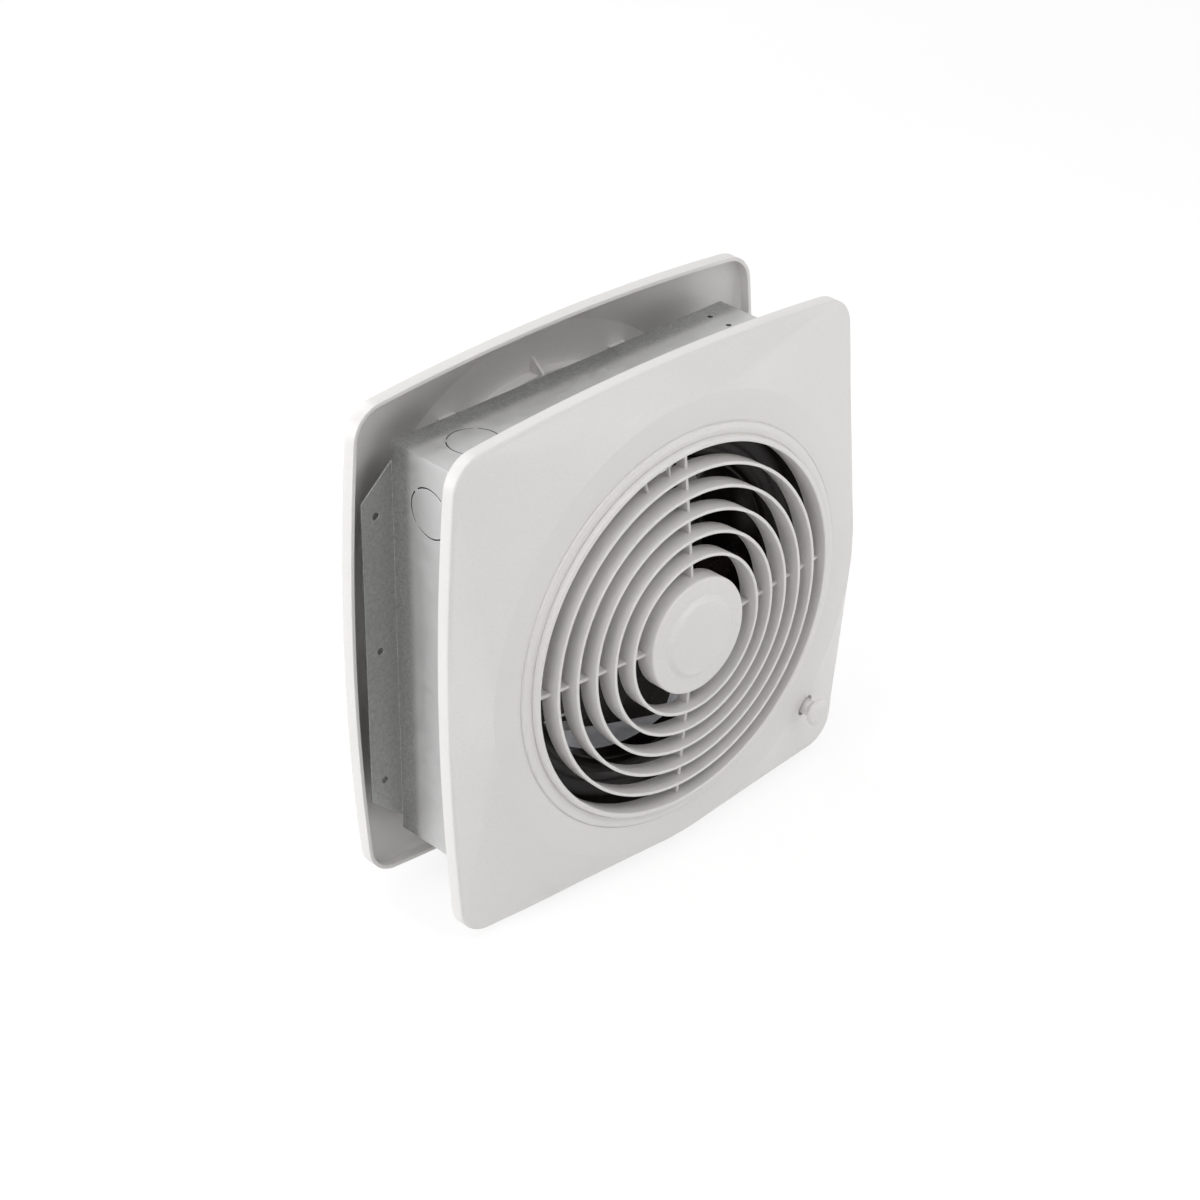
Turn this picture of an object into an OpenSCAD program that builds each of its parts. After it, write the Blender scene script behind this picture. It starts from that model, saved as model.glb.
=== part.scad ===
// Room-to-room fan: a motor fan in a square steel housing that sits in a wall opening,
// with the same square white grille on both sides of the wall.
// Origin: on the fan's axis, in the wall face that the mounting flanges screw against.
// +X is to the right seen from the knob's side, +Y points to the rear room, +Z is up.

/* [Wall] */
// Thickness of the wall, which is the space between the two grille rims
wall_t = 64; // [62:1:90]

/* [Grille] */
// Width of a grille across the middle of its sides
plate_w = 286; // [283:0.5:292]
// How far each side bows out past its corners
side_bow = 7.4; // [6:0.2:8.4]
// Radius of a grille's corners
corner_r = 18.5; // [16:0.5:22]
// Depth of a grille from its rim to the front of its opening
grille_d = 29.4; // [28:0.2:34]
// Depth of the straight band round the rim
band_d = 8.2; // [6.6:0.2:9]
// How far the band's front edge is rounded in
band_round = 1.5; // [0.8:0.1:2.2]
// Wall thickness of the white mouldings
grille_wall = 2.2; // [1.8:0.1:2.6]
// Radius of the round ridge on the face
ridge_r = 128.5; // [125:0.5:130]
// How far the ridge lies behind the front of the opening
ridge_drop = 4.5; // [3.8:0.1:5.4]
// How far the step inside the ridge lies outside the opening
step_in = 9.2; // [7:0.2:11]
// Height of that step
step_h = 1.1; // [0.6:0.1:1.6]
// Radius of the round opening
opening_r = 102; // [101:0.5:103]
// Width of the raised lip round the opening
lip_w = 2.9; // [2.2:0.1:3.4]
// Depth of the opening's own wall
collar_d = 10.7; // [9:0.1:12]

/* [Rings] */
// Number of rings between the hub and the opening
ring_n = 5; // [3:1:6]
// Thickness of a ring at its front edge
ring_t = 1.8; // [1.4:0.1:2.2]
// Depth of a ring
ring_d = 9.5; // [8:0.5:11]
// How far the rings rise from the opening to the hub
hub_rise = 7.2; // [5:0.1:9]
// Radius of the hub disc
hub_r = 32.3; // [29:0.1:35]
// Radius of the raised boss on the hub
boss_r = 22; // [18:0.5:24]
// Height of the raised boss
boss_h = 2.4; // [1.4:0.1:3.5]
// Width of a spoke
spoke_w = 1.9; // [1.5:0.1:2.6]
// How far a spoke is set back behind the rings' front edges
spoke_back = 5.5; // [3:0.1:6]
// Width of the two thin webs beside the top spoke
web_w = 0.9; // [0.7:0.1:1.6]

/* [Grille fixing] */
// Width of a snap leg
leg_w = 11; // [9:0.5:13]
// Thickness of a snap leg
leg_t = 1.8; // [1.4:0.1:2.2]
// Distance of the snap legs from the housing's top and bottom faces
leg_in = 14.3; // [13.9:0.1:14.8]
// Play of a snap leg in its slot
leg_play = 0.4; // [0.3:0.1:0.6]
// Thickness of a gusset behind the opening
gusset_t = 1.6; // [1.2:0.1:2.4]

/* [Housing] */
// Width and height of the steel housing
housing_w = 228.6; // [228:0.2:230]
// Thickness of the housing's sheet
sheet = 0.9; // [0.7:0.1:1.1]
// How far the housing reaches into the front grille
front_reach = 9.5; // [8.5:0.5:10]
// Width of the lips turned in at the front
front_lip = 9.5; // [8.5:0.5:10]
// Width of the lips turned in at the rear
rear_lip = 18; // [17.6:0.2:20]
// Width of a mounting flange
flange_w = 20; // [18:0.5:22]
// Length of a mounting flange at its fold
flange_l = 210; // [196:1:216]
// Height of the slanted cut at each end of a flange
flange_cut = 17.5; // [10:0.5:19]
// Distance between neighbouring screw holes in a flange
flange_pitch = 78; // [60:1:80]
// Diameter of the screw holes in a flange
flange_hole = 4; // [3.4:0.1:5]
// Distance of those holes from the housing's side
flange_hole_x = 11; // [8:0.1:12]
// How far the flanges are set below the axis
flange_drop = 1.4; // [0:0.2:3]
// Diameter of a cable knockout
knockout = 27; // [22:0.5:28]
// Width of the slit round a knockout
slit_w = 0.7; // [0.5:0.1:1.1]
// Distance of a knockout's centre from the housing's corner
knockout_in = 29.3; // [28:0.1:31]
// Distance of a knockout's centre from the wall face
knockout_y = 27.5; // [25:0.5:34]

/* [Duct] */
// Inner radius of the fan's duct
duct_r = 82.5; // [80:0.5:83]
// Wall thickness of the duct
duct_wall = 1.8; // [1.5:0.1:2.2]
// Depth of the duct's flared mouth
mouth_d = 9; // [8:0.5:10]
// How much wider the mouth is than the duct, at its front
mouth_flare = 21; // [18:0.5:22]
// Length of the straight duct behind its mouth
duct_l = 44; // [40:1:46]
// Thickness of the plate round the mouth
orifice_t = 1.6; // [1.3:0.1:2]

/* [Propeller] */
// Number of blades
blade_n = 5; // [3:1:5]
// Gap between the blade tips and the duct
tip_gap = 2.5; // [2:0.1:5]
// Distance of the blades' middle from the front of the opening
blade_in = 48; // [47:0.5:52]
// Radius of the propeller's hub
prop_hub_r = 19; // [17:0.5:22]
// Half the width of a blade at the hub
root_half = 19; // [14:0.5:20]
// Half the width of a blade at its widest
wide_half = 27; // [23:0.5:30]
// Pitch of the blades at the hub, in degrees
root_pitch = 44; // [36:1:46]
// Pitch of the blades at the tip, in degrees
tip_pitch = 33; // [26:1:36]
// Thickness of a blade
blade_t = 2; // [1.6:0.1:2.4]

/* [Motor] */
// Radius of the motor shaft
shaft_r = 2.4; // [2:0.1:2.8]
// Radial clearance of a shaft in its bearings
running_gap = 0.03; // [0.02:0.01:0.08]
// Radius of the rotor
rotor_r = 15.5; // [14:0.5:15.5]
// Air gap round the rotor
air_gap = 0.4; // [0.3:0.1:0.6]
// Thickness of the steel stack
stack_d = 18; // [16:1:18]
// Width of the steel stack
stack_w = 60; // [58:1:64]
// Distance of the motor screws from the shaft
motor_screw_x = 24; // [23.5:0.5:25]
// Radius of the motor screws
motor_screw_r = 1.9; // [1.6:0.1:2.1]
// Height of the motor strap
strap_h = 50; // [48:1:52]
// Thickness of the motor strap
strap_t = 1.5; // [1.2:0.1:1.8]

/* [Speed control] */
// Distance of the knob from the housing's right face
knob_side = 14.8; // [14.4:0.1:16]
// Distance of the knob from the housing's bottom face
knob_up = 21.3; // [20.4:0.1:22.2]
// Radius of the knob's head
knob_r = 8.3; // [7.4:0.1:9]
// Radius of the knob's stem
stem_r = 4.6; // [4.4:0.1:5]
// Radius of the hole in the grille round the stem
knob_hole_r = 6.3; // [6:0.1:6.8]
// How far the knob stands out past the front of the opening
knob_out = 5.3; // [4:0.1:7]
// Radius of the control's shaft
control_shaft_r = 3; // [2.6:0.1:3.1]
// Width of the control's case
control_w = 24; // [20:1:25]

/* [Hidden] */
$fn = 72;
past = 1;                 // how far a cutting shape runs past what it cuts
hole_gap = 0.2;           // radial play of a screw in the hole it passes through

// Depths along Y
front_rim_y = -wall_t;
front_y = front_rim_y - grille_d;
housing_front_y = front_rim_y - front_reach;
half = housing_w / 2;
inner_half = half - sheet;
knob_x = half - knob_side;
knob_drop = half - knob_up;

module block(x0, x1, y0, y1, z0, z1) {
    translate([x0, y0, z0]) cube([x1 - x0, y1 - y0, z1 - z0]);
}

// Rod along Y between two depths
module rod_y(x, z, r, y0, y1) {
    translate([x, y1, z]) rotate([90, 0, 0]) cylinder(r = r, h = y1 - y0);
}

module tube_y(x, z, r_out, r_in, y0, y1) {
    difference() {
        rod_y(x, z, r_out, y0, y1);
        rod_y(x, z, r_in, y0 - past, y1 + past);
    }
}

// A shape made along +Z is turned to point to the front room, with its base at depth y
module facing_front(y) {
    translate([0, y, 0]) rotate([90, 0, 0]) children();
}

module facing_rear(y) {
    translate([0, y, 0]) rotate([0, 0, 180]) rotate([90, 0, 0]) children();
}

function mix(a, b, t) = a + (b - a) * t;
function arc(cx, cy, r, a0, a1, n) =
    [for (i = [0 : n]) let (a = mix(a0, a1, i / n)) [cx + r * cos(a), cy + r * sin(a)]];
function turned(points, a) =
    [for (p = points) [p[0] * cos(a) - p[1] * sin(a), p[0] * sin(a) + p[1] * cos(a)]];
function rounded_box(w, h, r) = concat(
    arc(w / 2 - r, h / 2 - r, r, 0, 90, 5), arc(r - w / 2, h / 2 - r, r, 90, 180, 5),
    arc(r - w / 2, r - h / 2, r, 180, 270, 5), arc(w / 2 - r, r - h / 2, r, 270, 360, 5));

// Pan-head screw along +Z, with its head's underside at z = 0
module pan_screw(r, l) {
    head_r = r * 2;
    rotate_extrude() polygon([[0, -l], [r, -l], [r, 0], [head_r, 0], [head_r, r * 0.6],
        [head_r * 0.7, r * 1.15], [0, r * 1.25]]);
}

// Grille outline: a wide arc on each side and a corner arc between them, with no kink
chord_half = plate_w / 2 - side_bow;
side_arc_r = (chord_half * chord_half + side_bow * side_bow) / (2 * side_bow);
side_c = plate_w / 2 - side_arc_r;
corner_c = (side_c + sqrt(2 * pow(side_arc_r - corner_r, 2) - side_c * side_c)) / 2;
side_a = atan2(corner_c, corner_c - side_c);

function quarter(inset) = concat(
    arc(side_c, 0, side_arc_r - inset, -side_a, side_a, 8),
    arc(corner_c, corner_c, corner_r - inset, side_a + 10, 80 - side_a, 5));
function outline(inset) = [for (q = [0 : 3]) each turned(quarter(inset), q * 90)];

module slab(inset, z0, z1) {
    translate([0, 0, z0]) linear_extrude(z1 - z0) polygon(outline(inset));
}

// Grille, made along +Z: z = 0 is its rim against the wall, grille_d the front of its opening
face_z = grille_d - ridge_drop;
back_z = face_z - grille_wall;
collar_r = opening_r + grille_wall;
collar_z = grille_d - collar_d;
ring_pitch = (opening_r + ring_t / 2 - hub_r) / (ring_n + 1);
ring_rise = hub_rise / (ring_n + 1);
hub_z = grille_d + hub_rise;
step_r = opening_r + step_in;

// The snap legs stand midway between the opening's wall and the ridge
leg_z = half - leg_in;
leg_x = sqrt(pow((collar_r + ridge_r) / 2, 2) - leg_z * leg_z);

// The face falls from the round ridge to the bowed square of the rim
module face_loft(inset, drop) {
    band_z = band_d - drop;
    hull() {
        slab(inset, -drop, band_z - band_round);
        slab(inset + band_round * 0.3, -drop, band_z - band_round * 0.3);
        slab(inset + band_round, -drop, band_z);
        cylinder(r = ridge_r - inset * 0.5, h = face_z - drop, $fn = 80);
    }
}

// Flat round the opening, with its step and lip, and the opening's own wall behind it
module bezel() {
    rotate_extrude() polygon([
        [ridge_r - 0.2, back_z], [ridge_r - 0.2, face_z + 0.05],
        [step_r, face_z + 0.2], [step_r - 0.4, face_z + step_h],
        [opening_r + lip_w + 0.7, face_z + step_h + 0.7], [opening_r + lip_w, grille_d - 1],
        [opening_r + lip_w - 0.8, grille_d], [opening_r + 0.6, grille_d],
        [opening_r, grille_d - 0.6], [opening_r, collar_z], [collar_r, collar_z],
        [collar_r, back_z]]);
}

module ring(r, front) {
    t = ring_t / 2;
    rotate_extrude() polygon([
        [r - t, front - 0.5], [r - t + 0.4, front], [r + t - 0.4, front], [r + t, front - 0.5],
        [r + t * 0.75, front - ring_d], [r - t * 0.75, front - ring_d]]);
}

// Round cup with a raised boss
module hub() {
    rotate_extrude() polygon([
        [0, hub_z + boss_h], [boss_r - 1.8, hub_z + boss_h], [boss_r - 0.5, hub_z + boss_h - 0.5],
        [boss_r, hub_z + boss_h / 2], [boss_r + 0.8, hub_z], [hub_r - 1, hub_z],
        [hub_r, hub_z - 0.8], [hub_r, hub_z - ring_d], [hub_r - grille_wall, hub_z - ring_d],
        [hub_r - grille_wall, hub_z - grille_wall], [0, hub_z - grille_wall]]);
}

// Side view of a rib, drawn as radius and height, set on edge at angle a
module rib(a, thickness, profile) {
    rotate([0, 0, a]) rotate([90, 0, 0]) translate([0, 0, -thickness / 2])
        linear_extrude(thickness) polygon(profile);
}

// The spokes follow the rings' slope, set back behind their front edges
module spokes() {
    outer = opening_r + 1;
    inner = hub_r - 1;
    front_z = grille_d - spoke_back;
    rear_z = grille_d - ring_d;
    for (a = [0 : 90 : 270]) rib(a, spoke_w, [
        [inner, front_z + hub_rise], [outer, front_z], [outer, rear_z], [inner, rear_z + hub_rise]]);
    for (a = [97, 106.5]) rib(a, web_w, [
        [opening_r - ring_pitch, front_z - 1], [outer, front_z - 1],
        [outer, front_z + 1], [opening_r - ring_pitch, front_z + 1]]);
}

module gussets() {
    tip_z = collar_z - 3.3;
    for (a = [0 : 90 : 270]) rib(a, gusset_t, [
        [opening_r + 0.6, back_z + 0.6], [step_r + 5.5, back_z + 0.6], [step_r + 5, back_z - 1.5],
        [opening_r + 4, tip_z], [opening_r + 0.6, tip_z]]);
}

// Legs that hook behind a sheet whose near face is at sheet_z and which is grip thick
module snap_legs(sheet_z, grip) {
    hook = 1.4;
    catch_z = sheet_z - grip - leg_play;
    end_z = catch_z - 4;
    for (x = [-leg_x, leg_x]) for (flip = [0, 1]) mirror([0, flip, 0])
        translate([x - leg_w / 2, leg_z - leg_t, 0]) rotate([90, 0, 90])
            linear_extrude(leg_w) polygon([
                [0, back_z + 0.6], [leg_t, back_z + 0.6], [leg_t, catch_z],
                [leg_t + hook, catch_z - 0.5], [leg_t - 0.4, end_z], [0, end_z]]);
}

module grille(sheet_z, grip) {
    difference() {
        face_loft(0, 0);
        face_loft(grille_wall, grille_wall);
        cylinder(r = ridge_r - 0.5, h = grille_d);
    }
    bezel();
    for (k = [1 : ring_n]) ring(opening_r + ring_t / 2 - k * ring_pitch, grille_d + k * ring_rise);
    hub();
    spokes();
    gussets();
    snap_legs(sheet_z, grip);
}

module front_grille() {
    color("whitesmoke") difference() {
        facing_front(front_rim_y) grille(front_reach + orifice_t, orifice_t);
        rod_y(knob_x, -knob_drop, knob_hole_r, front_y - past, front_rim_y);
    }
}

module rear_grille() {
    color("whitesmoke") facing_rear(0) grille(0, sheet);
}

// Housing
small_screw_r = 1.7;
screw_bite = 4;
corner_screw_in = 16.3;
corner_screw_x = half - corner_screw_in;
corner_screw_z = half - front_lip / 2 - 1;
wiring_screw_x = corner_screw_x;
wiring_screw_z = half - rear_lip / 2;

// Slots for the snap legs in a plate between two depths
module leg_slots(y0, y1) {
    for (x = [-leg_x, leg_x]) for (flip = [0, 1]) mirror([0, 0, flip])
        block(x - leg_w / 2 - leg_play, x + leg_w / 2 + leg_play, y0 - past, y1 + past,
            leg_z - leg_t - leg_play, leg_z + leg_play);
}

module corner_holes(r) {
    for (x = [-corner_screw_x, corner_screw_x]) for (z = [-corner_screw_z, corner_screw_z])
        rod_y(x, z, r, housing_front_y - orifice_t - past, housing_front_y + sheet + past);
}

// Slit round a knockout, along +Z: four arcs with tabs of sheet left between them
module knockout_slit() {
    tab = 2.6;
    r = knockout / 2;
    difference() {
        translate([0, 0, -past]) cylinder(r = r + slit_w / 2, h = sheet + 2 * past);
        translate([0, 0, -2 * past]) cylinder(r = r - slit_w / 2, h = sheet + 4 * past);
        for (a = [45, 135]) rotate([0, 0, a])
            block(-r - past, r + past, -tab / 2, tab / 2, -2 * past, sheet + 2 * past);
    }
}

// Top sheet with its front and rear lips and the two tabs inside the side sheets
module cross_sheet() {
    tab = 8;
    difference() {
        union() {
            block(-half, half, housing_front_y, 0, inner_half, half);
            block(-inner_half, inner_half, housing_front_y, housing_front_y + sheet,
                half - front_lip, half);
            block(-inner_half, inner_half, -sheet, 0, half - rear_lip, half);
            for (flip = [0, 1]) mirror([flip, 0, 0])
                block(inner_half - sheet, inner_half, housing_front_y + 18, -22, half - tab, half);
        }
        leg_slots(-sheet, 0);
        corner_holes(small_screw_r);
    }
}

module housing_top() {
    pilot_r = 1.5;
    pilot_in = 17.3;
    color("silver") difference() {
        cross_sheet();
        translate([knockout_in - half, -knockout_y, inner_half]) knockout_slit();
        for (y = [-9.5, -23]) translate([half - pilot_in, y, inner_half - past])
            cylinder(r = pilot_r, h = sheet + 2 * past);
        rod_y(-wiring_screw_x, wiring_screw_z, small_screw_r + hole_gap, -sheet - past, past);
    }
}

module housing_bottom() {
    color("silver") mirror([0, 0, 1]) cross_sheet();
}

// Left sheet with its front lip and its mounting flange, which three screws hold to the wall
module side_sheet() {
    tip = flange_l / 2 - flange_cut;
    block(-half, -inner_half, housing_front_y, 0, -inner_half, inner_half);
    block(-half, front_lip - half, housing_front_y, housing_front_y + sheet,
        front_lip - half, half - front_lip);
    difference() {
        translate([-half, sheet, -flange_drop]) rotate([90, 0, 0]) linear_extrude(sheet) polygon([
            [sheet, -flange_l / 2], [sheet, flange_l / 2], [0, flange_l / 2], [-flange_w, tip],
            [-flange_w, -tip], [0, -flange_l / 2]]);
        for (k = [-1 : 1]) rod_y(-half - flange_hole_x, k * flange_pitch - flange_drop,
            flange_hole / 2, -past, sheet + past);
    }
}

module housing_left() {
    color("silver") difference() {
        side_sheet();
        translate([-half, -knockout_y, half - knockout_in]) rotate([0, 90, 0]) knockout_slit();
    }
}

module housing_right() {
    color("silver") mirror([1, 0, 0]) side_sheet();
}

// Duct
orifice_y = housing_front_y - orifice_t;
lip_y = orifice_y + mouth_d;
duct_end_y = lip_y + duct_l;
mouth_r = duct_r + mouth_flare;
bushing_r = 5;
corner_cut = 5;

// Quarter of an ellipse from the plate, at rim_r, in to end_r at the mouth's depth
function flare(rim_r, end_r, z0, n) = [for (i = [0 : n]) let (a = 90 * i / n)
    [mix(rim_r, end_r, sin(a)), mix(z0, -mouth_d, 1 - cos(a))]];
function reversed(list) = [for (i = [len(list) - 1 : -1 : 0]) list[i]];

// Black plate over the front of the housing, with a flared mouth and a straight duct
module orifice_duct() {
    n = 10;
    reach = half - 2;
    lip = 1.2;
    color("dimgray") difference() {
        union() {
            difference() {
                block(-reach, reach, orifice_y, housing_front_y, -reach, reach);
                rod_y(0, 0, mouth_r, orifice_y - past, housing_front_y + past);
            }
            facing_front(orifice_y) rotate_extrude() polygon(concat(
                [[mouth_r + 1, -orifice_t], [mouth_r + 1, 0]],
                flare(mouth_r, duct_r + lip, 0, n),
                [[duct_r, -mouth_d], [duct_r, -mouth_d - duct_l],
                    [duct_r + duct_wall, -mouth_d - duct_l]],
                reversed(flare(mouth_r, duct_r + duct_wall + 0.2, -orifice_t, n))));
        }
        leg_slots(orifice_y, housing_front_y);
        corner_holes(small_screw_r + hole_gap);
        rod_y(knob_x, -knob_drop, bushing_r + hole_gap, orifice_y - past, housing_front_y + past);
        for (a = [45 : 90 : 315]) rotate([0, a, 0])
            block(reach * sqrt(2) - corner_cut, reach * sqrt(2) + corner_cut, orifice_y - past,
                housing_front_y + past, -4 * corner_cut, 4 * corner_cut);
    }
}

module orifice_screws() {
    color("silver") for (x = [-corner_screw_x, corner_screw_x])
        for (z = [-corner_screw_z, corner_screw_z])
            translate([x, orifice_y, z]) rotate([90, 0, 0])
                pan_screw(small_screw_r, orifice_t + sheet + screw_bite);
}

// Bare label on the floor of the duct
label_y = front_y + 38.3;
label_w = 22;
label_t = 0.25;
glue = 0.1;
label_a0 = 235;
label_span = 63;

module duct_label() {
    color("gainsboro") facing_front(label_y) rotate([0, 0, label_a0])
        rotate_extrude(angle = label_span)
            translate([duct_r - glue - label_t, -label_w]) square([label_t, label_w]);
}

// Propeller
tip_r = duct_r - tip_gap;
blade_y = front_y + blade_in;
hub_len = 17;
neck_l = 6.5;
neck_r = shaft_r + 4;
hub_back = 6.4;
hub_rear_y = blade_y + hub_back;
hub_floor = 3;
hub_wall = 2.4;
camber = 3;
blade_sweep = 12;
tip_taper = 0.1;          // share of its chord that a blade loses at the tip
blade_turn = 27;          // angle of the first blade from straight up
blade_rows = 9;
blade_cols = 8;

// Point on a blade: row runs from hub to tip, u across the blade from -1 to 1, and side is
// 1 or -1 for its two faces. Each row is a cambered section wrapped on a cylinder.
function blade_point(row, u, side) =
    let (t = row / blade_rows,
        r = mix(prop_hub_r - 1.5, tip_r, t),
        pitch = mix(root_pitch, tip_pitch, t),
        swell = sin(t * 120) / sin(120),
        along = u * mix(root_half, wide_half, swell) * (1 - tip_taper * pow(t, 8)),
        across = camber * (1 - u * u) + side * blade_t / 2 * mix(1, 0.6, t) * (1 - 0.75 * u * u),
        sweep = blade_sweep * t * t,
        a = (along * cos(pitch) - across * sin(pitch) + sweep) / r * 180 / PI)
    [r * sin(a), along * sin(pitch) * 0.75 + across * cos(pitch), r * cos(a)];
function blade_section(row) = concat(
    [for (j = [0 : blade_cols]) blade_point(row, 2 * j / blade_cols - 1, 1)],
    [for (j = [blade_cols : -1 : 0]) blade_point(row, 2 * j / blade_cols - 1, -1)]);

module blade() {
    m = 2 * (blade_cols + 1);
    top = blade_rows * m;
    points = [for (row = [0 : blade_rows]) each blade_section(row)];
    skin = [for (row = [0 : blade_rows - 1]) for (j = [0 : m - 1])
        let (a = row * m + j, b = row * m + (j + 1) % m)
        each [[a, b, b + m], [a, b + m, a + m]]];
    ends = [for (j = [0 : blade_cols - 1]) let (k = m - 1 - j)
        each [[j, k, k - 1], [j, k - 1, j + 1],
            [top + j, top + k - 1, top + k], [top + j, top + j + 1, top + k - 1]]];
    polyhedron(points, concat(skin, ends));
}

module propeller() {
    color("#2b2b2d") {
        difference() {
            facing_front(hub_rear_y) rotate_extrude() polygon([
                [0, -neck_l], [neck_r, -neck_l], [neck_r, hub_len - hub_floor],
                [prop_hub_r - hub_wall, hub_len - hub_floor], [prop_hub_r - hub_wall, 0],
                [prop_hub_r, 0],
                [prop_hub_r, hub_len - 3], [prop_hub_r - 1.2, hub_len - 1], [prop_hub_r - 4, hub_len],
                [0, hub_len]]);
            rod_y(0, 0, shaft_r, hub_rear_y - hub_len + hub_floor, hub_rear_y + neck_l + past);
        }
        for (k = [0 : blade_n - 1]) rotate([0, k * 360 / blade_n + blade_turn, 0])
            translate([0, blade_y, 0]) blade();
    }
}

// Spring band that clamps the propeller's slit neck on the shaft
clamp_w = 4;

module hub_clamp() {
    band = 1.1;
    ear = 5;
    y0 = hub_rear_y + 1.2;
    y1 = y0 + clamp_w;
    color("silver") difference() {
        union() {
            rod_y(0, 0, neck_r + band, y0, y1);
            block(-2, 2, y0, y1, neck_r, neck_r + ear);
        }
        rod_y(0, 0, neck_r, y0 - past, y1 + past);
        block(-0.8, 0.8, y0 - past, y1 + past, neck_r - past, neck_r + ear + past);
    }
}

// Motor: the strap carries the stack behind it, and a bearing bracket on each side
strap_y = -10;
stack_y = strap_y + strap_t;
stack_end_y = stack_y + stack_d;
stack_mid_y = (stack_y + stack_end_y) / 2;
bore_r = rotor_r + air_gap;
stack_top = 25;
window_top = -27;
window_bottom = -42;
leg_bottom = -54;
window_half = stack_w / 2 - 12;
bracket_t = 3;
boss_l = 9;
bearing_r = 5;
rotor_y0 = stack_y + 1;
rotor_y1 = stack_end_y - 1;
shade_r = 18.2;
shade_wire = 0.8;

module motor_shaft() {
    color("silver") rod_y(0, 0, shaft_r, hub_rear_y - hub_len + hub_floor, stack_end_y + boss_l + 2);
}

// Steel core with cast end rings
module rotor_core() {
    color("gray") difference() {
        union() {
            rod_y(0, 0, rotor_r, rotor_y0 + 1.5, rotor_y1 - 1.5);
            tube_y(0, 0, rotor_r - 1.5, rotor_r - 6, rotor_y0, rotor_y1);
        }
        rod_y(0, 0, shaft_r, rotor_y0 - past, rotor_y1 + past);
    }
}

// Washers on the shaft between the rotor and each bearing
module thrust_washers() {
    end_gap = 0.3;
    color("tan") {
        tube_y(0, 0, 5, shaft_r, strap_y + end_gap, rotor_y0 + 1.5);
        tube_y(0, 0, 5, shaft_r, rotor_y1 - 1.5, stack_end_y - end_gap);
    }
}

// Laminated frame: a bore for the rotor, and below it a window with the coil's leg
module stator_core() {
    color("slategray") difference() {
        block(-stack_w / 2, stack_w / 2, stack_y, stack_end_y, leg_bottom, stack_top);
        rod_y(0, 0, bore_r, stack_y - past, stack_end_y + past);
        block(-window_half, window_half, stack_y - past, stack_end_y + past,
            window_bottom, window_top);
        for (x = [-motor_screw_x, motor_screw_x])
            rod_y(x, 0, motor_screw_r + hole_gap, stack_y - past, stack_end_y + past);
        for (a = [0, 180]) rotate([0, a, 0]) for (b = [30, 60])
            rod_y(shade_r * cos(b), shade_r * sin(b), shade_wire + 0.1,
                stack_y - past, stack_end_y + past);
    }
}

// Two closed loops of thick copper wire through the stack beside the bore
module shading_rings() {
    span = 2 * shade_r * sin(15);
    color("peru") for (a = [0, 180]) rotate([0, a, 0]) {
        for (b = [30, 60]) rod_y(shade_r * cos(b), shade_r * sin(b), shade_wire,
            stack_y - 1.3, stack_end_y + 1.3);
        for (y = [stack_y - 1.3, stack_end_y])
            translate([shade_r * cos(30), y, shade_r * sin(30)]) rotate([0, -45, 0])
                block(-shade_wire, shade_wire, 0, 1.3, 0, span);
    }
}

// Frame of the coil, round the stack's lower leg
coil_t = 8.5;
coil_seat = 0.15;
cheek_rim = 0.8;
bobbin_t = 1.2;
leg_mid = (window_bottom + leg_bottom) / 2;
leg_h = window_bottom - leg_bottom;
bobbin_half = window_half - 0.5;

module coil_layer(x0, x1, grow, hole, r) {
    translate([x0, stack_mid_y, leg_mid]) rotate([90, 0, 90]) linear_extrude(x1 - x0)
        difference() {
            polygon(rounded_box(stack_d + 2 * grow, leg_h + 2 * grow, r));
            square([stack_d + 2 * hole, leg_h + 2 * hole], center = true);
        }
}

module coil_bobbin() {
    cheek = coil_seat + bobbin_t + coil_t + cheek_rim;
    color("ivory") {
        coil_layer(-bobbin_half, bobbin_half, coil_seat + bobbin_t, coil_seat, 1);
        coil_layer(-bobbin_half, bobbin_t - bobbin_half, cheek, coil_seat, 4);
        coil_layer(bobbin_half - bobbin_t, bobbin_half, cheek, coil_seat, 4);
    }
}

module coil_winding() {
    inside = coil_seat + bobbin_t;
    color("goldenrod") coil_layer(bobbin_t - bobbin_half, bobbin_half - bobbin_t,
        inside + coil_t, inside, 3);
}

// Bar across the rotor with a boss for the bearing, from its foot plane at z = 0 along +Z
module bearing_bracket() {
    bar_half = stack_w / 2 - 1;
    difference() {
        union() {
            block(-bar_half, bar_half, -7, 7, 0, bracket_t);
            cylinder(r = bearing_r + 3, h = boss_l);
        }
        translate([0, 0, -past]) cylinder(r = bearing_r, h = boss_l + 2 * past);
        for (x = [-motor_screw_x, motor_screw_x]) translate([x, 0, -past])
            cylinder(r = motor_screw_r + hole_gap, h = bracket_t + 2 * past);
    }
}

module front_bearing_bracket() {
    color("silver") facing_front(strap_y) bearing_bracket();
}

module rear_bearing_bracket() {
    color("silver") facing_rear(stack_end_y) bearing_bracket();
}

// Oil-soaked bronze bush, a push fit in its bracket
module front_bearing() {
    color("darkgoldenrod")
        tube_y(0, 0, bearing_r, shaft_r + running_gap, strap_y - boss_l + 0.5, strap_y);
}

module rear_bearing() {
    color("darkgoldenrod")
        tube_y(0, 0, bearing_r, shaft_r + running_gap, stack_end_y, stack_end_y + boss_l - 0.5);
}

nut_h = 3;

module motor_screws() {
    color("silver") for (x = [-motor_screw_x, motor_screw_x])
        translate([x, strap_y - bracket_t, 0]) rotate([90, 0, 0])
            pan_screw(motor_screw_r, stack_end_y - strap_y + 2 * bracket_t + nut_h + 1);
}

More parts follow.
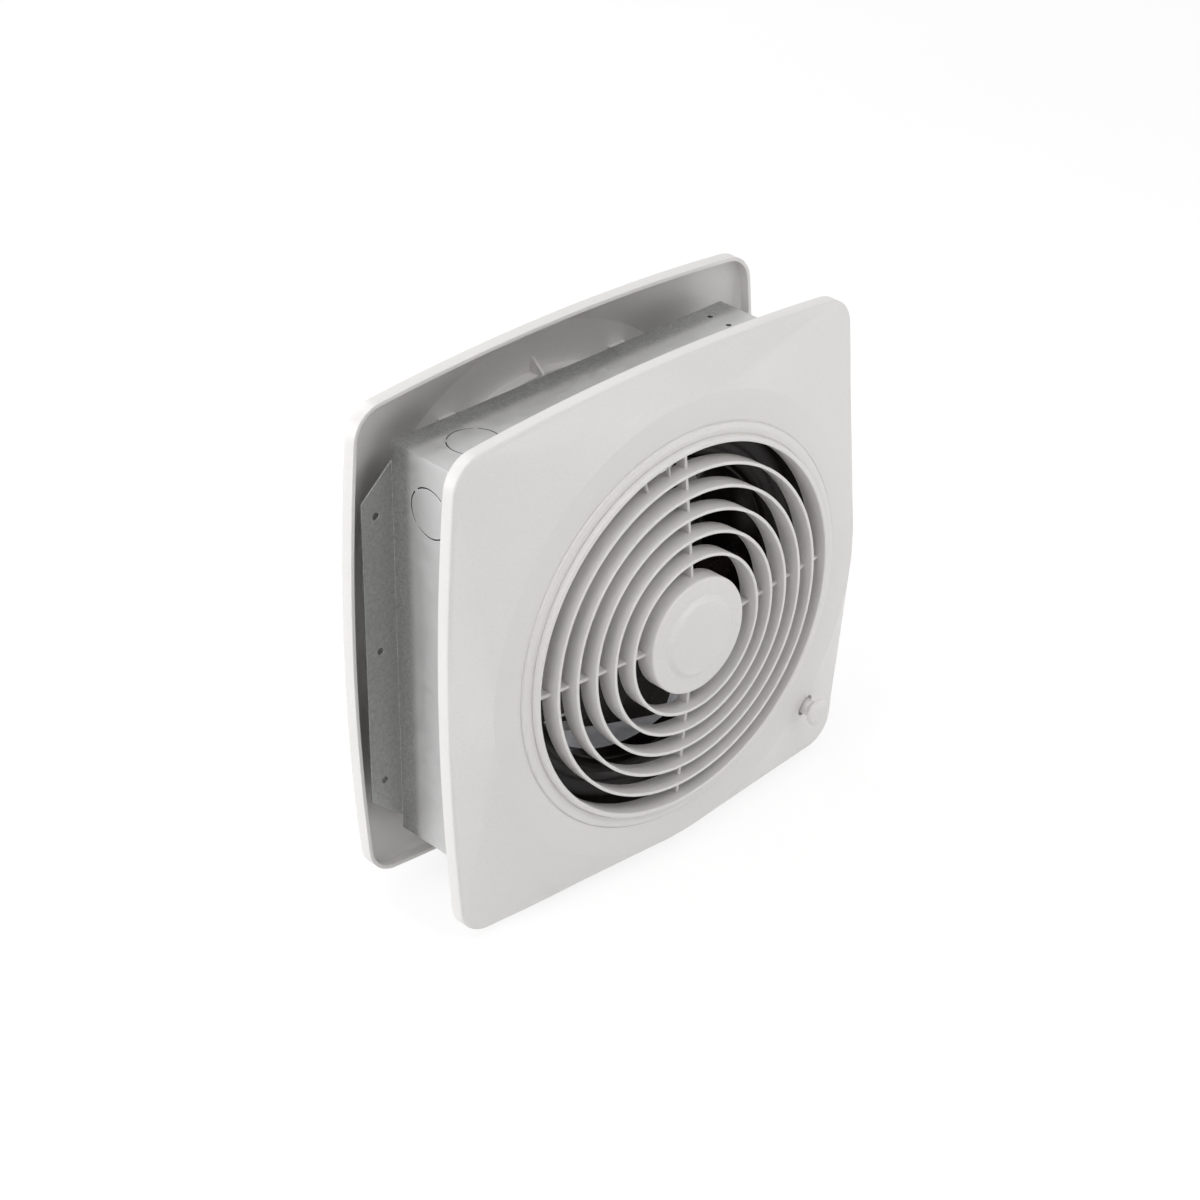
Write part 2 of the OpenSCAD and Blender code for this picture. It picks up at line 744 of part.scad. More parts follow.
// Hexagon nut, or any other six-sided piece, with a round bore along Y
module hex_nut(x, z, flat_r, r, y0, y1) {
    difference() {
        translate([x, y1, z]) rotate([90, 0, 0]) cylinder(r = flat_r / cos(30), h = y1 - y0, $fn = 6);
        rod_y(x, z, r, y0 - past, y1 + past);
    }
}

module motor_nuts() {
    color("silver") for (x = [-motor_screw_x, motor_screw_x])
        hex_nut(x, 0, motor_screw_r * 1.8, motor_screw_r,
            stack_end_y + bracket_t, stack_end_y + bracket_t + nut_h);
}

// Folded strap across the housing, welded to both side sheets
fold = 8;

module motor_strap() {
    z = strap_h / 2;
    color("silver") difference() {
        union() {
            block(-inner_half, inner_half, strap_y, stack_y, -z, z);
            for (edge = [-z, z - strap_t])
                block(-inner_half, inner_half, strap_y - fold, stack_y, edge, edge + strap_t);
            for (side = [-inner_half, inner_half - strap_t])
                block(side, side + strap_t, strap_y - fold, stack_y, -z, z);
        }
        rod_y(0, 0, shade_r + 1.5, strap_y - past, stack_y + past);
        for (x = [-motor_screw_x, motor_screw_x])
            rod_y(x, 0, motor_screw_r + hole_gap, strap_y - past, stack_y + past);
    }
}

// Wiring corner: a folded cover closes off the corner behind the two knockouts
cover_w = 46.4;
cover_in = inner_half - cover_w;
cover_front_y = housing_front_y + sheet;
plug_in = 28;
plug_x = -cover_in - plug_in;
plug_y = -22;
plug_w = 18;
plug_d = 12;
plug_h = 20;
socket_rim = 1.2;
ground_up = 25;
ground_y = -50;
ground_z = cover_in + ground_up;

module wiring_cover() {
    color("silver") difference() {
        union() {
            block(-inner_half, -cover_in, cover_front_y, -sheet, cover_in, cover_in + sheet);
            block(-cover_in - sheet, -cover_in, cover_front_y, -sheet, cover_in, inner_half);
            block(-inner_half, -cover_in, -2 * sheet, -sheet, cover_in, inner_half);
        }
        block(plug_x - plug_w / 2 - 0.2, plug_x + plug_w / 2 + 0.2, plug_y - plug_d / 2 - 0.2,
            plug_y + plug_d / 2 + 0.2, cover_in - past, cover_in + sheet + past);
        rod_y(-wiring_screw_x, wiring_screw_z, small_screw_r, -2 * sheet - past, past);
        translate([-cover_in - sheet - past, ground_y, ground_z]) rotate([0, 90, 0])
            cylinder(r = small_screw_r, h = sheet + 2 * past);
        translate([-cover_in - sheet - past, lead_y, lead_z]) rotate([0, 90, 0])
            cylinder(r = lead_r + 0.4, h = sheet + 2 * past);
    }
}

module wiring_cover_screw() {
    color("silver") translate([-wiring_screw_x, 0, wiring_screw_z]) rotate([-90, 0, 0])
        pan_screw(small_screw_r, 7);
}

module ground_screw() {
    color("seagreen") translate([-cover_in - sheet, ground_y, ground_z]) rotate([0, -90, 0])
        pan_screw(small_screw_r, 5);
}

// Box with its top at z1, centred on the plug
module plug_block(grow, z0, z1) {
    block(plug_x - plug_w / 2 - grow, plug_x + plug_w / 2 + grow, plug_y - plug_d / 2 - grow,
        plug_y + plug_d / 2 + grow, z0, z1);
}

module motor_socket() {
    color("ivory") {
        plug_block(2, cover_in - socket_rim, cover_in);
        plug_block(0, cover_in - socket_rim, cover_in + 12);
    }
}

plug_top = cover_in - socket_rim;

module motor_plug() {
    color("ivory") {
        plug_block(0, plug_top - plug_h, plug_top);
        plug_block(1, plug_top - plug_h, plug_top - plug_h + 4);
    }
}

// Leads: round tubes along a smooth line through hand-set points. A lead never runs
// along Y, so Y can serve as the reference for its cross-section.
lead_r = 2.4;
lead_y = -46;
lead_in = 12.4;
side_lead_x = inner_half - lead_in;
lead_z = inner_half - lead_in;
motor_route = [[plug_x, plug_y, plug_top - plug_h], [plug_x, -24, 20], [plug_x, -24, -20],
    [-88, -19, -44], [-60, -15, -56], [-36, -13, -58], [-bobbin_half, -13, -58]];
control_route = [[100, -62, -knob_drop + control_w / 2], [100, -58, -66],
    [side_lead_x, lead_y, -44], [side_lead_x, lead_y, -30], [side_lead_x, lead_y, 30],
    [side_lead_x, lead_y, 44], [98, lead_y, 70], [86, lead_y, 91], [62, lead_y, lead_z],
    [34, lead_y, lead_z], [-34, lead_y, lead_z], [-cover_in - 10, lead_y, lead_z]];

function unit(v) = v / norm(v);
function curve_point(p0, p1, p2, p3, t) = (2 * p1 + (p2 - p0) * t
    + (2 * p0 - 5 * p1 + 4 * p2 - p3) * t * t + (3 * p1 - p0 - 3 * p2 + p3) * t * t * t) / 2;
function smooth_line(p, step) = let (last = len(p) - 1) concat(
    [for (i = [0 : last - 1]) let (n = ceil(norm(p[i + 1] - p[i]) / step))
        for (k = [0 : n - 1])
            curve_point(p[max(i - 1, 0)], p[i], p[i + 1], p[min(i + 2, last)], k / n)],
    [p[last]]);

module lead(route, r) {
    sides = 8;
    line = smooth_line(route, 12);
    last = len(line) - 1;
    points = [for (i = [0 : last])
        let (t = unit(line[min(i + 1, last)] - line[max(i - 1, 0)]),
            u = unit(cross(t, [0, 1, 0])), v = cross(u, t))
        for (s = [0 : sides - 1]) let (a = 360 * s / sides) line[i] + r * (cos(a) * u + sin(a) * v)];
    skin = [for (i = [0 : last - 1]) for (s = [0 : sides - 1])
        let (a = i * sides + s, b = i * sides + (s + 1) % sides)
        each [[a, b, a + sides], [b, b + sides, a + sides]]];
    first_end = [[for (s = [sides - 1 : -1 : 0]) s]];
    last_end = [[for (s = [0 : sides - 1]) last * sides + s]];
    polyhedron(points, concat(skin, first_end, last_end));
}

module motor_lead() {
    color("dimgray") lead(motor_route, lead_r);
}

module control_lead() {
    color("dimgray") lead(control_route, lead_r);
}

// Clip round a lead that runs along Z, with its foot on a sheet at x = reach
module lead_clip(reach) {
    clip_l = 6;
    wrap_r = lead_r + 1.4;
    difference() {
        union() {
            cylinder(r = wrap_r, h = clip_l);
            block(0, reach, -wrap_r, wrap_r, 0, clip_l);
        }
        translate([0, 0, -past]) cylinder(r = lead_r + 0.1, h = clip_l + 2 * past);
    }
}

// Clips that hold the control's lead to the right side sheet and to the top sheet
module lead_clips() {
    color("white") {
        for (z = [-24, 18]) translate([side_lead_x, lead_y, z])
            lead_clip(inner_half - side_lead_x);
        for (x = [-30, 24]) translate([x, lead_y, lead_z]) rotate([90, 0, 90]) rotate([0, 0, 90])
            lead_clip(inner_half - lead_z);
    }
}

// Speed control: its case sits behind the front lips, its bushing passes the black plate
case_y = housing_front_y + sheet;
case_d = 22;
bushing_y = orifice_y - 4;
knob_face_y = front_y - knob_out;
knob_end_y = bushing_y - 1.6;
control_nut_h = 2.2;

module control_case() {
    w = control_w / 2;
    color("#333333") difference() {
        block(knob_x - w, knob_x + w, case_y, case_y + case_d, -knob_drop - w, -knob_drop + w);
        rod_y(knob_x, -knob_drop, control_shaft_r + running_gap, case_y - past, case_y + 8);
    }
}

module control_bushing() {
    color("silver") tube_y(knob_x, -knob_drop, bushing_r, control_shaft_r + running_gap,
        bushing_y, case_y);
}

module control_nut() {
    color("silver") hex_nut(knob_x, -knob_drop, 6.2, bushing_r, orifice_y - control_nut_h, orifice_y);
}

module control_shaft() {
    color("silver") rod_y(knob_x, -knob_drop, control_shaft_r, knob_end_y - 10, case_y + 7.6);
}

// Mushroom knob, pushed on the shaft
module speed_knob() {
    l = knob_end_y - knob_face_y;
    color("whitesmoke") difference() {
        translate([knob_x, knob_end_y, -knob_drop]) rotate([90, 0, 0]) rotate_extrude() polygon([
            [0, 0], [stem_r, 0], [stem_r, l - 7], [stem_r + 0.5, l - 5.4], [knob_r - 1.6, l - 4.2],
            [knob_r - 0.2, l - 3.6], [knob_r, l - 3], [knob_r - 0.2, l - 2.2], [knob_r - 1.4, l - 1],
            [knob_r - 3.4, l - 0.3], [0, l]]);
        rod_y(knob_x, -knob_drop, control_shaft_r, knob_end_y - 10, knob_end_y + past);
    }
}

front_grille();
rear_grille();
housing_top();
housing_bottom();
housing_left();
housing_right();
orifice_duct();
orifice_screws();
duct_label();
propeller();
hub_clamp();
motor_shaft();
rotor_core();
thrust_washers();
stator_core();
shading_rings();
coil_bobbin();
coil_winding();
front_bearing_bracket();
rear_bearing_bracket();
front_bearing();
rear_bearing();
motor_screws();
motor_nuts();
motor_strap();
wiring_cover();
wiring_cover_screw();
ground_screw();
motor_socket();
motor_plug();
motor_lead();
control_case();
control_bushing();
control_nut();
control_shaft();
speed_knob();
control_lead();
lead_clips();
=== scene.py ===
import math

import bmesh
import bpy
import numpy as np
from mathutils import Matrix, Vector

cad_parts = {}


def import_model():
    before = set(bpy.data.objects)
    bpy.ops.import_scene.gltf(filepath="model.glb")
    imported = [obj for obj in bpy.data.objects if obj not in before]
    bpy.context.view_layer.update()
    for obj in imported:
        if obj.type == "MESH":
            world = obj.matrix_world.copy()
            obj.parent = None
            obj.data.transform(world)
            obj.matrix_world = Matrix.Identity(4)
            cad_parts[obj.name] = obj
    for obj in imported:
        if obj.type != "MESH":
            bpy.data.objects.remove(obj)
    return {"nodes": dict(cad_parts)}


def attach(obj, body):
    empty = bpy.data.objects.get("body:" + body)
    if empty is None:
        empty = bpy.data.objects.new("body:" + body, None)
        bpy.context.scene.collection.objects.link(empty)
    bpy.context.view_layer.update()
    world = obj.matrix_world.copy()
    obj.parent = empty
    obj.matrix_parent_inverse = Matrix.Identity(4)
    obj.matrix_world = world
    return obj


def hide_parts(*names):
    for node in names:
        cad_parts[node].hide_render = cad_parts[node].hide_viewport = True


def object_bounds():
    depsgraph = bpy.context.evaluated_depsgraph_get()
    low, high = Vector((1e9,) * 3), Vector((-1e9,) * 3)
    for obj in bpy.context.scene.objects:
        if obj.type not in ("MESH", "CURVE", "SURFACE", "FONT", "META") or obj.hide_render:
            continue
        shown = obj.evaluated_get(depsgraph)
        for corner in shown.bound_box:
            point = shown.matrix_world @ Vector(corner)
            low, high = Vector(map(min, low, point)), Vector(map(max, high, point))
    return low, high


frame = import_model()
cad_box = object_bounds()
nodes = frame["nodes"]
MM = 0.001

# Sizes repeated from the part's source
WALL_T = 64.0
PLATE_W = 286.0
SIDE_BOW = 7.4
CORNER_R = 18.5
GRILLE_D = 29.4
BAND_D = 8.2
BAND_ROUND = 1.5
GRILLE_WALL = 2.2
RIDGE_R = 128.5
RIDGE_DROP = 4.5
STEP_R = 111.2
STEP_H = 1.1
OPENING_R = 102.0
LIP_W = 2.9
RING_N = 5
RING_T = 1.8
HUB_RISE = 7.2
HUB_R = 32.3
BOSS_R = 22.0
BOSS_H = 2.4
SPOKE_W = 1.9
SPOKE_BACK = 5.5
WEB_W = 0.9
WEB_ANGLES = (97, 106.5)
LEG_W = 11.0
LEG_T = 1.8
LEG_Z = 100.0
LEG_PLAY = 0.4
HOUSING_HALF = 114.3
SHEET = 0.9
FRONT_REACH = 9.5
ORIFICE_T = 1.6
DUCT_R = 82.5
DUCT_WALL = 1.8
MOUTH_D = 9.0
MOUTH_R = 103.5
DUCT_L = 44.0
KNOB_X = 99.5
KNOB_Z = -93.0
KNOB_R = 8.3
STEM_R = 4.6
KNOB_HOLE_R = 6.3
KNOB_FACE_Y = -98.7
KNOB_END_Y = -80.7
CONTROL_SHAFT_R = 3.0
BLADE_N = 5
BLADE_Y = -45.4
BLADE_T = 2.0
SHAFT_R = 2.4
PROP_HUB_R = 19.0
HUB_LEN = 17.0
HUB_BACK = 6.4
HUB_FLOOR = 3.0
HUB_WALL = 2.4
NECK_L = 6.5
TIP_R = 80.0
ROOT_HALF = 19.0
WIDE_HALF = 27.0
ROOT_PITCH = 44.0
TIP_PITCH = 33.0
CAMBER = 3.0
SWEEP = 12.0
TIP_TAPER = 0.1
BLADE_TURN = 27.0
CORNER_CUT = 5.0
LEAD_R = 2.4

# Sizes that are larger than in the part's source, as the photo shows them
RING_D = 12.0
COLLAR_D = 12.5
GUSSET_T = 2.0

# Radius inside which the bezel's band is level, and depth of the knob's bore
LEVEL_R = 108.4
KNOB_BORE_L = 10.0

FRONT_RIM_Y = -WALL_T
HOUSING_FRONT_Y = FRONT_RIM_Y - FRONT_REACH
ORIFICE_Y = HOUSING_FRONT_Y - ORIFICE_T
FACE_Z = GRILLE_D - RIDGE_DROP
BACK_Z = FACE_Z - GRILLE_WALL
COLLAR_R = OPENING_R + GRILLE_WALL
COLLAR_Z = GRILLE_D - COLLAR_D
RING_PITCH = (OPENING_R + RING_T / 2 - HUB_R) / (RING_N + 1)
RING_RISE = HUB_RISE / (RING_N + 1)
HUB_Z = GRILLE_D + HUB_RISE
LEG_X = math.sqrt(((COLLAR_R + RIDGE_R) / 2) ** 2 - LEG_Z**2)
NECK_R = SHAFT_R + 4
HUB_REAR_Y = BLADE_Y + HUB_BACK
KNOB_L = KNOB_END_Y - KNOB_FACE_Y

# Grille outline: a wide arc on each side and a corner arc between them
CHORD_HALF = PLATE_W / 2 - SIDE_BOW
SIDE_R = (CHORD_HALF**2 + SIDE_BOW**2) / (2 * SIDE_BOW)
SIDE_C = PLATE_W / 2 - SIDE_R
CORNER_C = (SIDE_C + math.sqrt(2 * (SIDE_R - CORNER_R) ** 2 - SIDE_C**2)) / 2
SIDE_A = math.atan2(CORNER_C, CORNER_C - SIDE_C)


# Materials
class Surface:
    """A principled material with a few shorthands for its texture nodes."""

    def __init__(self, name, roughness, metallic=0.0, **sockets):
        self.material = bpy.data.materials.new(name)
        self.material.use_nodes = True
        self.tree = self.material.node_tree
        self.tree.nodes.clear()
        self.out = self.tree.nodes.new("ShaderNodeOutputMaterial")
        self.shader = self.tree.nodes.new("ShaderNodeBsdfPrincipled")
        self.link(self.shader.outputs[0], self.out.inputs[0])
        self.set("Roughness", roughness)
        self.set("Metallic", metallic)
        for key, value in sockets.items():
            self.set(key.replace("_", " "), value)
        coords = self.tree.nodes.new("ShaderNodeTexCoord")
        self.coords = coords.outputs["Object"]

    def set(self, name, value):
        self.shader.inputs[name].default_value = value

    def link(self, a, b):
        self.tree.links.new(a, b)

    def noise(self, scale, detail, rough=0.5):
        node = self.tree.nodes.new("ShaderNodeTexNoise")
        node.inputs["Scale"].default_value = scale
        node.inputs["Detail"].default_value = detail
        node.inputs["Roughness"].default_value = rough
        self.link(self.coords, node.inputs["Vector"])
        return node.outputs["Fac"]

    def ramp(self, fac, low, high, start, end):
        """Maps fac between start and end to two values or two colours."""
        node = self.tree.nodes.new("ShaderNodeValToRGB")
        for element, place, value in zip(node.color_ramp.elements, (start, end), (low, high)):
            element.position = place
            element.color = (*value, 1) if isinstance(value, tuple) else (value, value, value, 1)
        self.link(fac, node.inputs["Fac"])
        return node.outputs["Color"]

    def blend(self, a, b, fac, kind="MIX"):
        node = self.tree.nodes.new("ShaderNodeMix")
        node.data_type = "RGBA"
        node.blend_type = kind
        self.put(fac, node.inputs["Factor"])
        self.put(a, node.inputs[6])
        self.put(b, node.inputs[7])
        return node.outputs[2]

    def along_y(self, start, end):
        """0 up to the place start on the Y axis and 1 from the place end, with a soft change."""
        place = self.tree.nodes.new("ShaderNodeSeparateXYZ")
        self.link(self.coords, place.inputs[0])
        node = self.tree.nodes.new("ShaderNodeMapRange")
        node.interpolation_type = "SMOOTHSTEP"
        node.inputs["From Min"].default_value = start * MM
        node.inputs["From Max"].default_value = end * MM
        self.link(place.outputs["Y"], node.inputs["Value"])
        return node.outputs[0]

    def put(self, value, socket):
        if isinstance(value, bpy.types.NodeSocket):
            self.link(value, socket)
        else:
            socket.default_value = (*value, 1) if isinstance(value, tuple) else value

    def bump(self, height, distance, strength):
        """Adds relief to the shader, distance in millimetres."""
        node = self.tree.nodes.new("ShaderNodeBump")
        node.inputs["Strength"].default_value = strength
        node.inputs["Distance"].default_value = distance * MM
        self.link(height, node.inputs["Height"])
        before = self.shader.inputs["Normal"]
        if before.is_linked:
            self.link(before.links[0].from_socket, node.inputs["Normal"])
        self.link(node.outputs[0], before)

    def colour(self, socket):
        self.link(socket, self.shader.inputs["Base Color"])

    def rough(self, socket):
        self.link(socket, self.shader.inputs["Roughness"])


def srgb(r, g, b):
    """A colour given as it looks on screen, 0 to 255, as linear values."""
    return tuple(
        c / 12.92 if c <= 0.04045 else ((c + 0.055) / 1.055) ** 2.4
        for c in (r / 255, g / 255, b / 255)
    )


def moulded(name, light, dark, roughness, grain=0.012, **sockets):
    """Moulded plastic: broad faint cloudiness, a fine mould grain and uneven gloss."""
    s = Surface(name, roughness, **sockets)
    clouds = s.noise(14, 3)
    specks = s.noise(900, 2)
    tone = s.ramp(clouds, dark, light, 0.3, 0.7)
    s.colour(s.blend(tone, s.ramp(specks, 0.94, 1.0, 0.35, 0.6), 0.5, "MULTIPLY"))
    s.rough(s.ramp(s.noise(60, 4), roughness - 0.05, roughness + 0.06, 0.3, 0.7))
    s.bump(s.noise(2600, 1), grain, 0.5)
    s.bump(s.noise(90, 1), grain * 2, 0.25)
    return s.material


def zinc_sheet(name, light, dark, roughness):
    """Galvanised sheet: speckled with frost towards the wall flanges, where its tone is darkened by
    painted shade, and smooth towards the front.
    """
    s = Surface(name, roughness, 1.0)
    # Mask of the part towards the flanges, which is speckled and carries painted shade
    flange_shade_mask = s.along_y(SMOOTH_UNSHADED_Y, FROSTED_SHADED_Y)
    grain = s.ramp(s.noise(1300, 3, 0.7), 0.66, 1.16, 0.32, 0.68)
    crystals = s.ramp(s.noise(420, 2), 0.86, 1.08, 0.35, 0.65)
    # Painted shade: the dark tone towards the flanges stands for shadow, with the real speckle and
    # crystals on it
    frosted_painted_shade = s.blend(s.blend(dark, grain, 0.75, "MULTIPLY"), crystals, 0.7, "MULTIPLY")
    smooth = s.blend(light, s.ramp(s.noise(60, 3), 0.95, 1.03, 0.3, 0.7), 0.8, "MULTIPLY")
    s.colour(s.blend(smooth, frosted_painted_shade, flange_shade_mask))
    s.rough(s.ramp(s.noise(250, 2), roughness - 0.05, roughness + 0.05, 0.3, 0.7))
    s.bump(s.noise(600, 2), 0.006, 0.5)
    return s.material


def bare_metal(name, light, dark, roughness, scale=700):
    """Plated, cast or turned metal: fine uneven tone and gloss."""
    s = Surface(name, roughness, 1.0)
    s.colour(s.ramp(s.noise(scale, 3), dark, light, 0.3, 0.7))
    s.rough(s.ramp(s.noise(scale / 3, 3), roughness - 0.08, roughness + 0.1, 0.3, 0.7))
    s.bump(s.noise(scale * 2, 2), 0.01, 0.3)
    return s.material


def dull(name, light, dark, roughness, scale=400, relief=0.03):
    """A plain non-metal surface with uneven colour and a little relief."""
    s = Surface(name, roughness)
    s.colour(s.ramp(s.noise(scale, 3), dark, light, 0.3, 0.7))
    s.rough(s.ramp(s.noise(scale / 4, 2), roughness - 0.06, roughness + 0.08, 0.3, 0.7))
    s.bump(s.noise(scale * 2, 2), relief, 0.4)
    return s.material


def laminated(name):
    """Stack of oiled steel sheets, seen as fine lines along Y."""
    s = Surface(name, 0.42, 1.0)
    lines = s.tree.nodes.new("ShaderNodeTexWave")
    lines.bands_direction = "Y"
    lines.inputs["Scale"].default_value = 320
    lines.inputs["Distortion"].default_value = 0.4
    lines.inputs["Detail"].default_value = 1
    s.link(s.coords, lines.inputs["Vector"])
    tone = s.ramp(lines.outputs["Fac"], srgb(70, 70, 74), srgb(128, 128, 132), 0.2, 0.7)
    s.colour(s.blend(tone, s.ramp(s.noise(120, 4), 0.6, 1.1, 0.3, 0.7), 0.7, "MULTIPLY"))
    s.bump(lines.outputs["Fac"], 0.06, 0.6)
    return s.material


# The sheet is smooth in front of the first place, and speckled with frost and darkened by painted
# shade behind the second
SMOOTH_UNSHADED_Y = -16.0
FROSTED_SHADED_Y = -9.0

# Each material has the name of its slot in the part's record
WHITE = moulded("white_plastic", srgb(232, 230, 228), srgb(229, 227, 225), 0.4, IOR=1.5)
BLACK = moulded(
    "black_plastic", srgb(26, 20, 18), srgb(20, 15, 14), 0.22, 0.006, Specular_IOR_Level=0.14
)
BLADES = moulded(
    "blade_plastic", srgb(38, 31, 28), srgb(30, 25, 23), 0.26, 0.008, Specular_IOR_Level=0.3
)
NYLON = moulded("nylon", srgb(226, 222, 208), srgb(214, 209, 194), 0.45, 0.01)
CASE_BLACK = moulded("control_plastic", srgb(44, 42, 41), srgb(34, 33, 32), 0.5, 0.02)
# The dark tone is painted shade on the sheet towards the flanges, and the light tone is the sheet
# where it is lit
ZINC = zinc_sheet("galvanised_steel", srgb(208, 208, 208), srgb(180, 181, 179), 0.5)
BRIGHT = bare_metal("plated_screw", srgb(200, 200, 198), srgb(160, 161, 163), 0.28)
CAST = bare_metal("die_cast", srgb(176, 176, 178), srgb(146, 147, 150), 0.45, 300)
IRON = bare_metal("rotor_iron", srgb(150, 150, 153), srgb(118, 118, 122), 0.4, 300)
SHAFT_STEEL = bare_metal("shaft_steel", srgb(190, 190, 192), srgb(165, 165, 168), 0.22)
BRONZE = bare_metal("bronze", srgb(176, 132, 78), srgb(140, 98, 54), 0.4, 500)
COPPER = bare_metal("copper", srgb(196, 120, 80), srgb(160, 88, 56), 0.32, 500)
GREEN = bare_metal("green_screw", srgb(62, 118, 74), srgb(44, 92, 56), 0.34, 500)
STEEL_STACK = laminated("lamination_steel")
FIBRE = dull("fibre", srgb(186, 156, 112), srgb(160, 128, 86), 0.7)
TAPE = dull("coil_tape", srgb(206, 168, 70), srgb(182, 142, 50), 0.35, 200, 0.05)
PAPER = dull("label_paper", srgb(236, 238, 244), srgb(224, 227, 236), 0.35, 260, 0.01)
LEAD = dull("lead_pvc", srgb(58, 58, 60), srgb(44, 44, 46), 0.5, 500, 0.02)


# Mesh helpers. Angles between two faces, in degrees: below the first they are merged as flat,
# above the second their edge is broken, and above the third their edge is shaded as sharp.
FLAT_ANGLE = 0.6
BROKEN_ANGLE = 28
SHARP_ANGLE = 38


class Shells:
    """Collects closed shells of points and faces, to become one object."""

    def __init__(self):
        self.points = []
        self.faces = []

    def add(self, points, faces):
        base = len(self.points)
        self.points.extend(np.asarray(points, float).tolist())
        self.faces.extend([[base + i for i in f] for f in faces])

    def grid(self, rows, closed=True):
        """rows[i][j]: points go round in j, and also in i where closed is true."""
        m, n = len(rows), len(rows[0])
        faces = []
        for i in range(m if closed else m - 1):
            k = (i + 1) % m
            for j in range(n):
                j1 = (j + 1) % n
                faces.append([i * n + j, i * n + j1, k * n + j1, k * n + j])
        self.add(np.asarray(rows).reshape(-1, 3), faces)

    def lathe(self, profile, n):
        """Turns (radius, height) pairs about local Z."""
        a = np.arange(n) * 2 * math.pi / n
        self.grid([np.stack([r * np.cos(a), r * np.sin(a), np.full(n, z)], 1) for r, z in profile])

    def prism(self, outline, thickness, bevel, place):
        """A polygon in local XY, centred on its thickness along Z, with bevelled edges."""
        bm = bmesh.new()
        base = [bm.verts.new((x, y, -thickness / 2)) for x, y in outline]
        made = bmesh.ops.extrude_face_region(bm, geom=[bm.faces.new(base)])
        top = [v for v in made["geom"] if isinstance(v, bmesh.types.BMVert)]
        bmesh.ops.translate(bm, verts=top, vec=(0, 0, thickness))
        bmesh.ops.recalc_face_normals(bm, faces=bm.faces)
        bmesh.ops.bevel(
            bm, geom=list(bm.edges), offset=bevel, segments=2, profile=0.5, affect="EDGES",
            clamp_overlap=True,
        )
        bm.transform(place)
        bm.verts.index_update()
        self.add([v.co for v in bm.verts], [[v.index for v in f.verts] for f in bm.faces])
        bm.free()

    def moved(self, matrix):
        """The same shells in another place."""
        other = Shells()
        p = np.array(self.points)
        m = np.array(matrix)
        other.points = (p @ m[:3, :3].T + m[:3, 3]).tolist()
        other.faces = self.faces
        return other

    def extend(self, other, matrix):
        moved = other.moved(matrix)
        self.add(moved.points, moved.faces)


def turn(axis, degrees):
    return Matrix.Rotation(math.radians(degrees), 4, axis)


def shift(x, y, z):
    return Matrix.Translation((x, y, z))


def facing_front(y):
    """Local +Z points to the front room, with the base at depth y."""
    return shift(0, y, 0) @ turn("X", 90)


def facing_rear(y):
    """Local +Z points to the rear room, with the base at depth y."""
    return shift(0, y, 0) @ turn("Z", 180) @ turn("X", 90)


def rounded(points, radii, steps, closed=True):
    """Rounds each corner of a polyline in a plane by its radius, with this many steps."""
    out = []
    count = len(points)
    for i, (p, r) in enumerate(zip(points, radii)):
        p = np.array(p, float)
        if r <= 0 or (not closed and i in (0, count - 1)):
            out.append(tuple(p))
            continue
        a = np.array(points[i - 1], float) - p
        b = np.array(points[(i + 1) % count], float) - p
        la, lb = np.linalg.norm(a), np.linalg.norm(b)
        a, b = a / la, b / lb
        half = math.acos(max(-1, min(1, float(a @ b)))) / 2
        if half > math.radians(89):
            out.append(tuple(p))
            continue
        reach = min(r / math.tan(half), la * 0.49, lb * 0.49)
        radius = reach * math.tan(half)
        centre = p + (a + b) / np.linalg.norm(a + b) * radius / math.sin(half)
        start, end = p + a * reach - centre, p + b * reach - centre
        sweep = math.pi - 2 * half
        sign = 1 if start[0] * end[1] - start[1] * end[0] > 0 else -1
        for k in range(steps + 1):
            t = sign * sweep * k / steps
            c, s = math.cos(t), math.sin(t)
            out.append(
                tuple(centre + np.array([start[0] * c - start[1] * s, start[0] * s + start[1] * c]))
            )
    return out


def linked(name, data):
    """An object of the scene that holds a mesh, a lamp or a camera."""
    obj = bpy.data.objects.new(name, data)
    bpy.context.scene.collection.objects.link(obj)
    return obj


def clean_object(name, shells):
    """The shells as an object in metres, with doubled points joined and faces turned outwards."""
    mesh = bpy.data.meshes.new(name)
    mesh.from_pydata((np.array(shells.points) * MM).tolist(), [], shells.faces)
    bm = bmesh.new()
    bm.from_mesh(mesh)
    bmesh.ops.remove_doubles(bm, verts=bm.verts, dist=1e-7)
    bmesh.ops.recalc_face_normals(bm, faces=bm.faces)
    bm.to_mesh(mesh)
    bm.free()
    return linked(name, mesh)


def as_object(name, shells, material, node, body="case"):
    """Makes the piece that takes a CAD node's place, and sets it on its body."""
    dressed(clean_object(name, shells), material, node, body)


def dressed(obj, material, node, body):
    """Material, shading, body and slot of a piece. The slot's name is the material's own name,
    without the number that Blender adds where the frame holds a material of that name."""
    obj.data.materials.clear()
    obj.data.materials.append(material)
    obj.data.shade_smooth()
    obj.data.set_sharp_from_angle(angle=math.radians(SHARP_ANGLE))
    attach(obj, body)
    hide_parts(node)


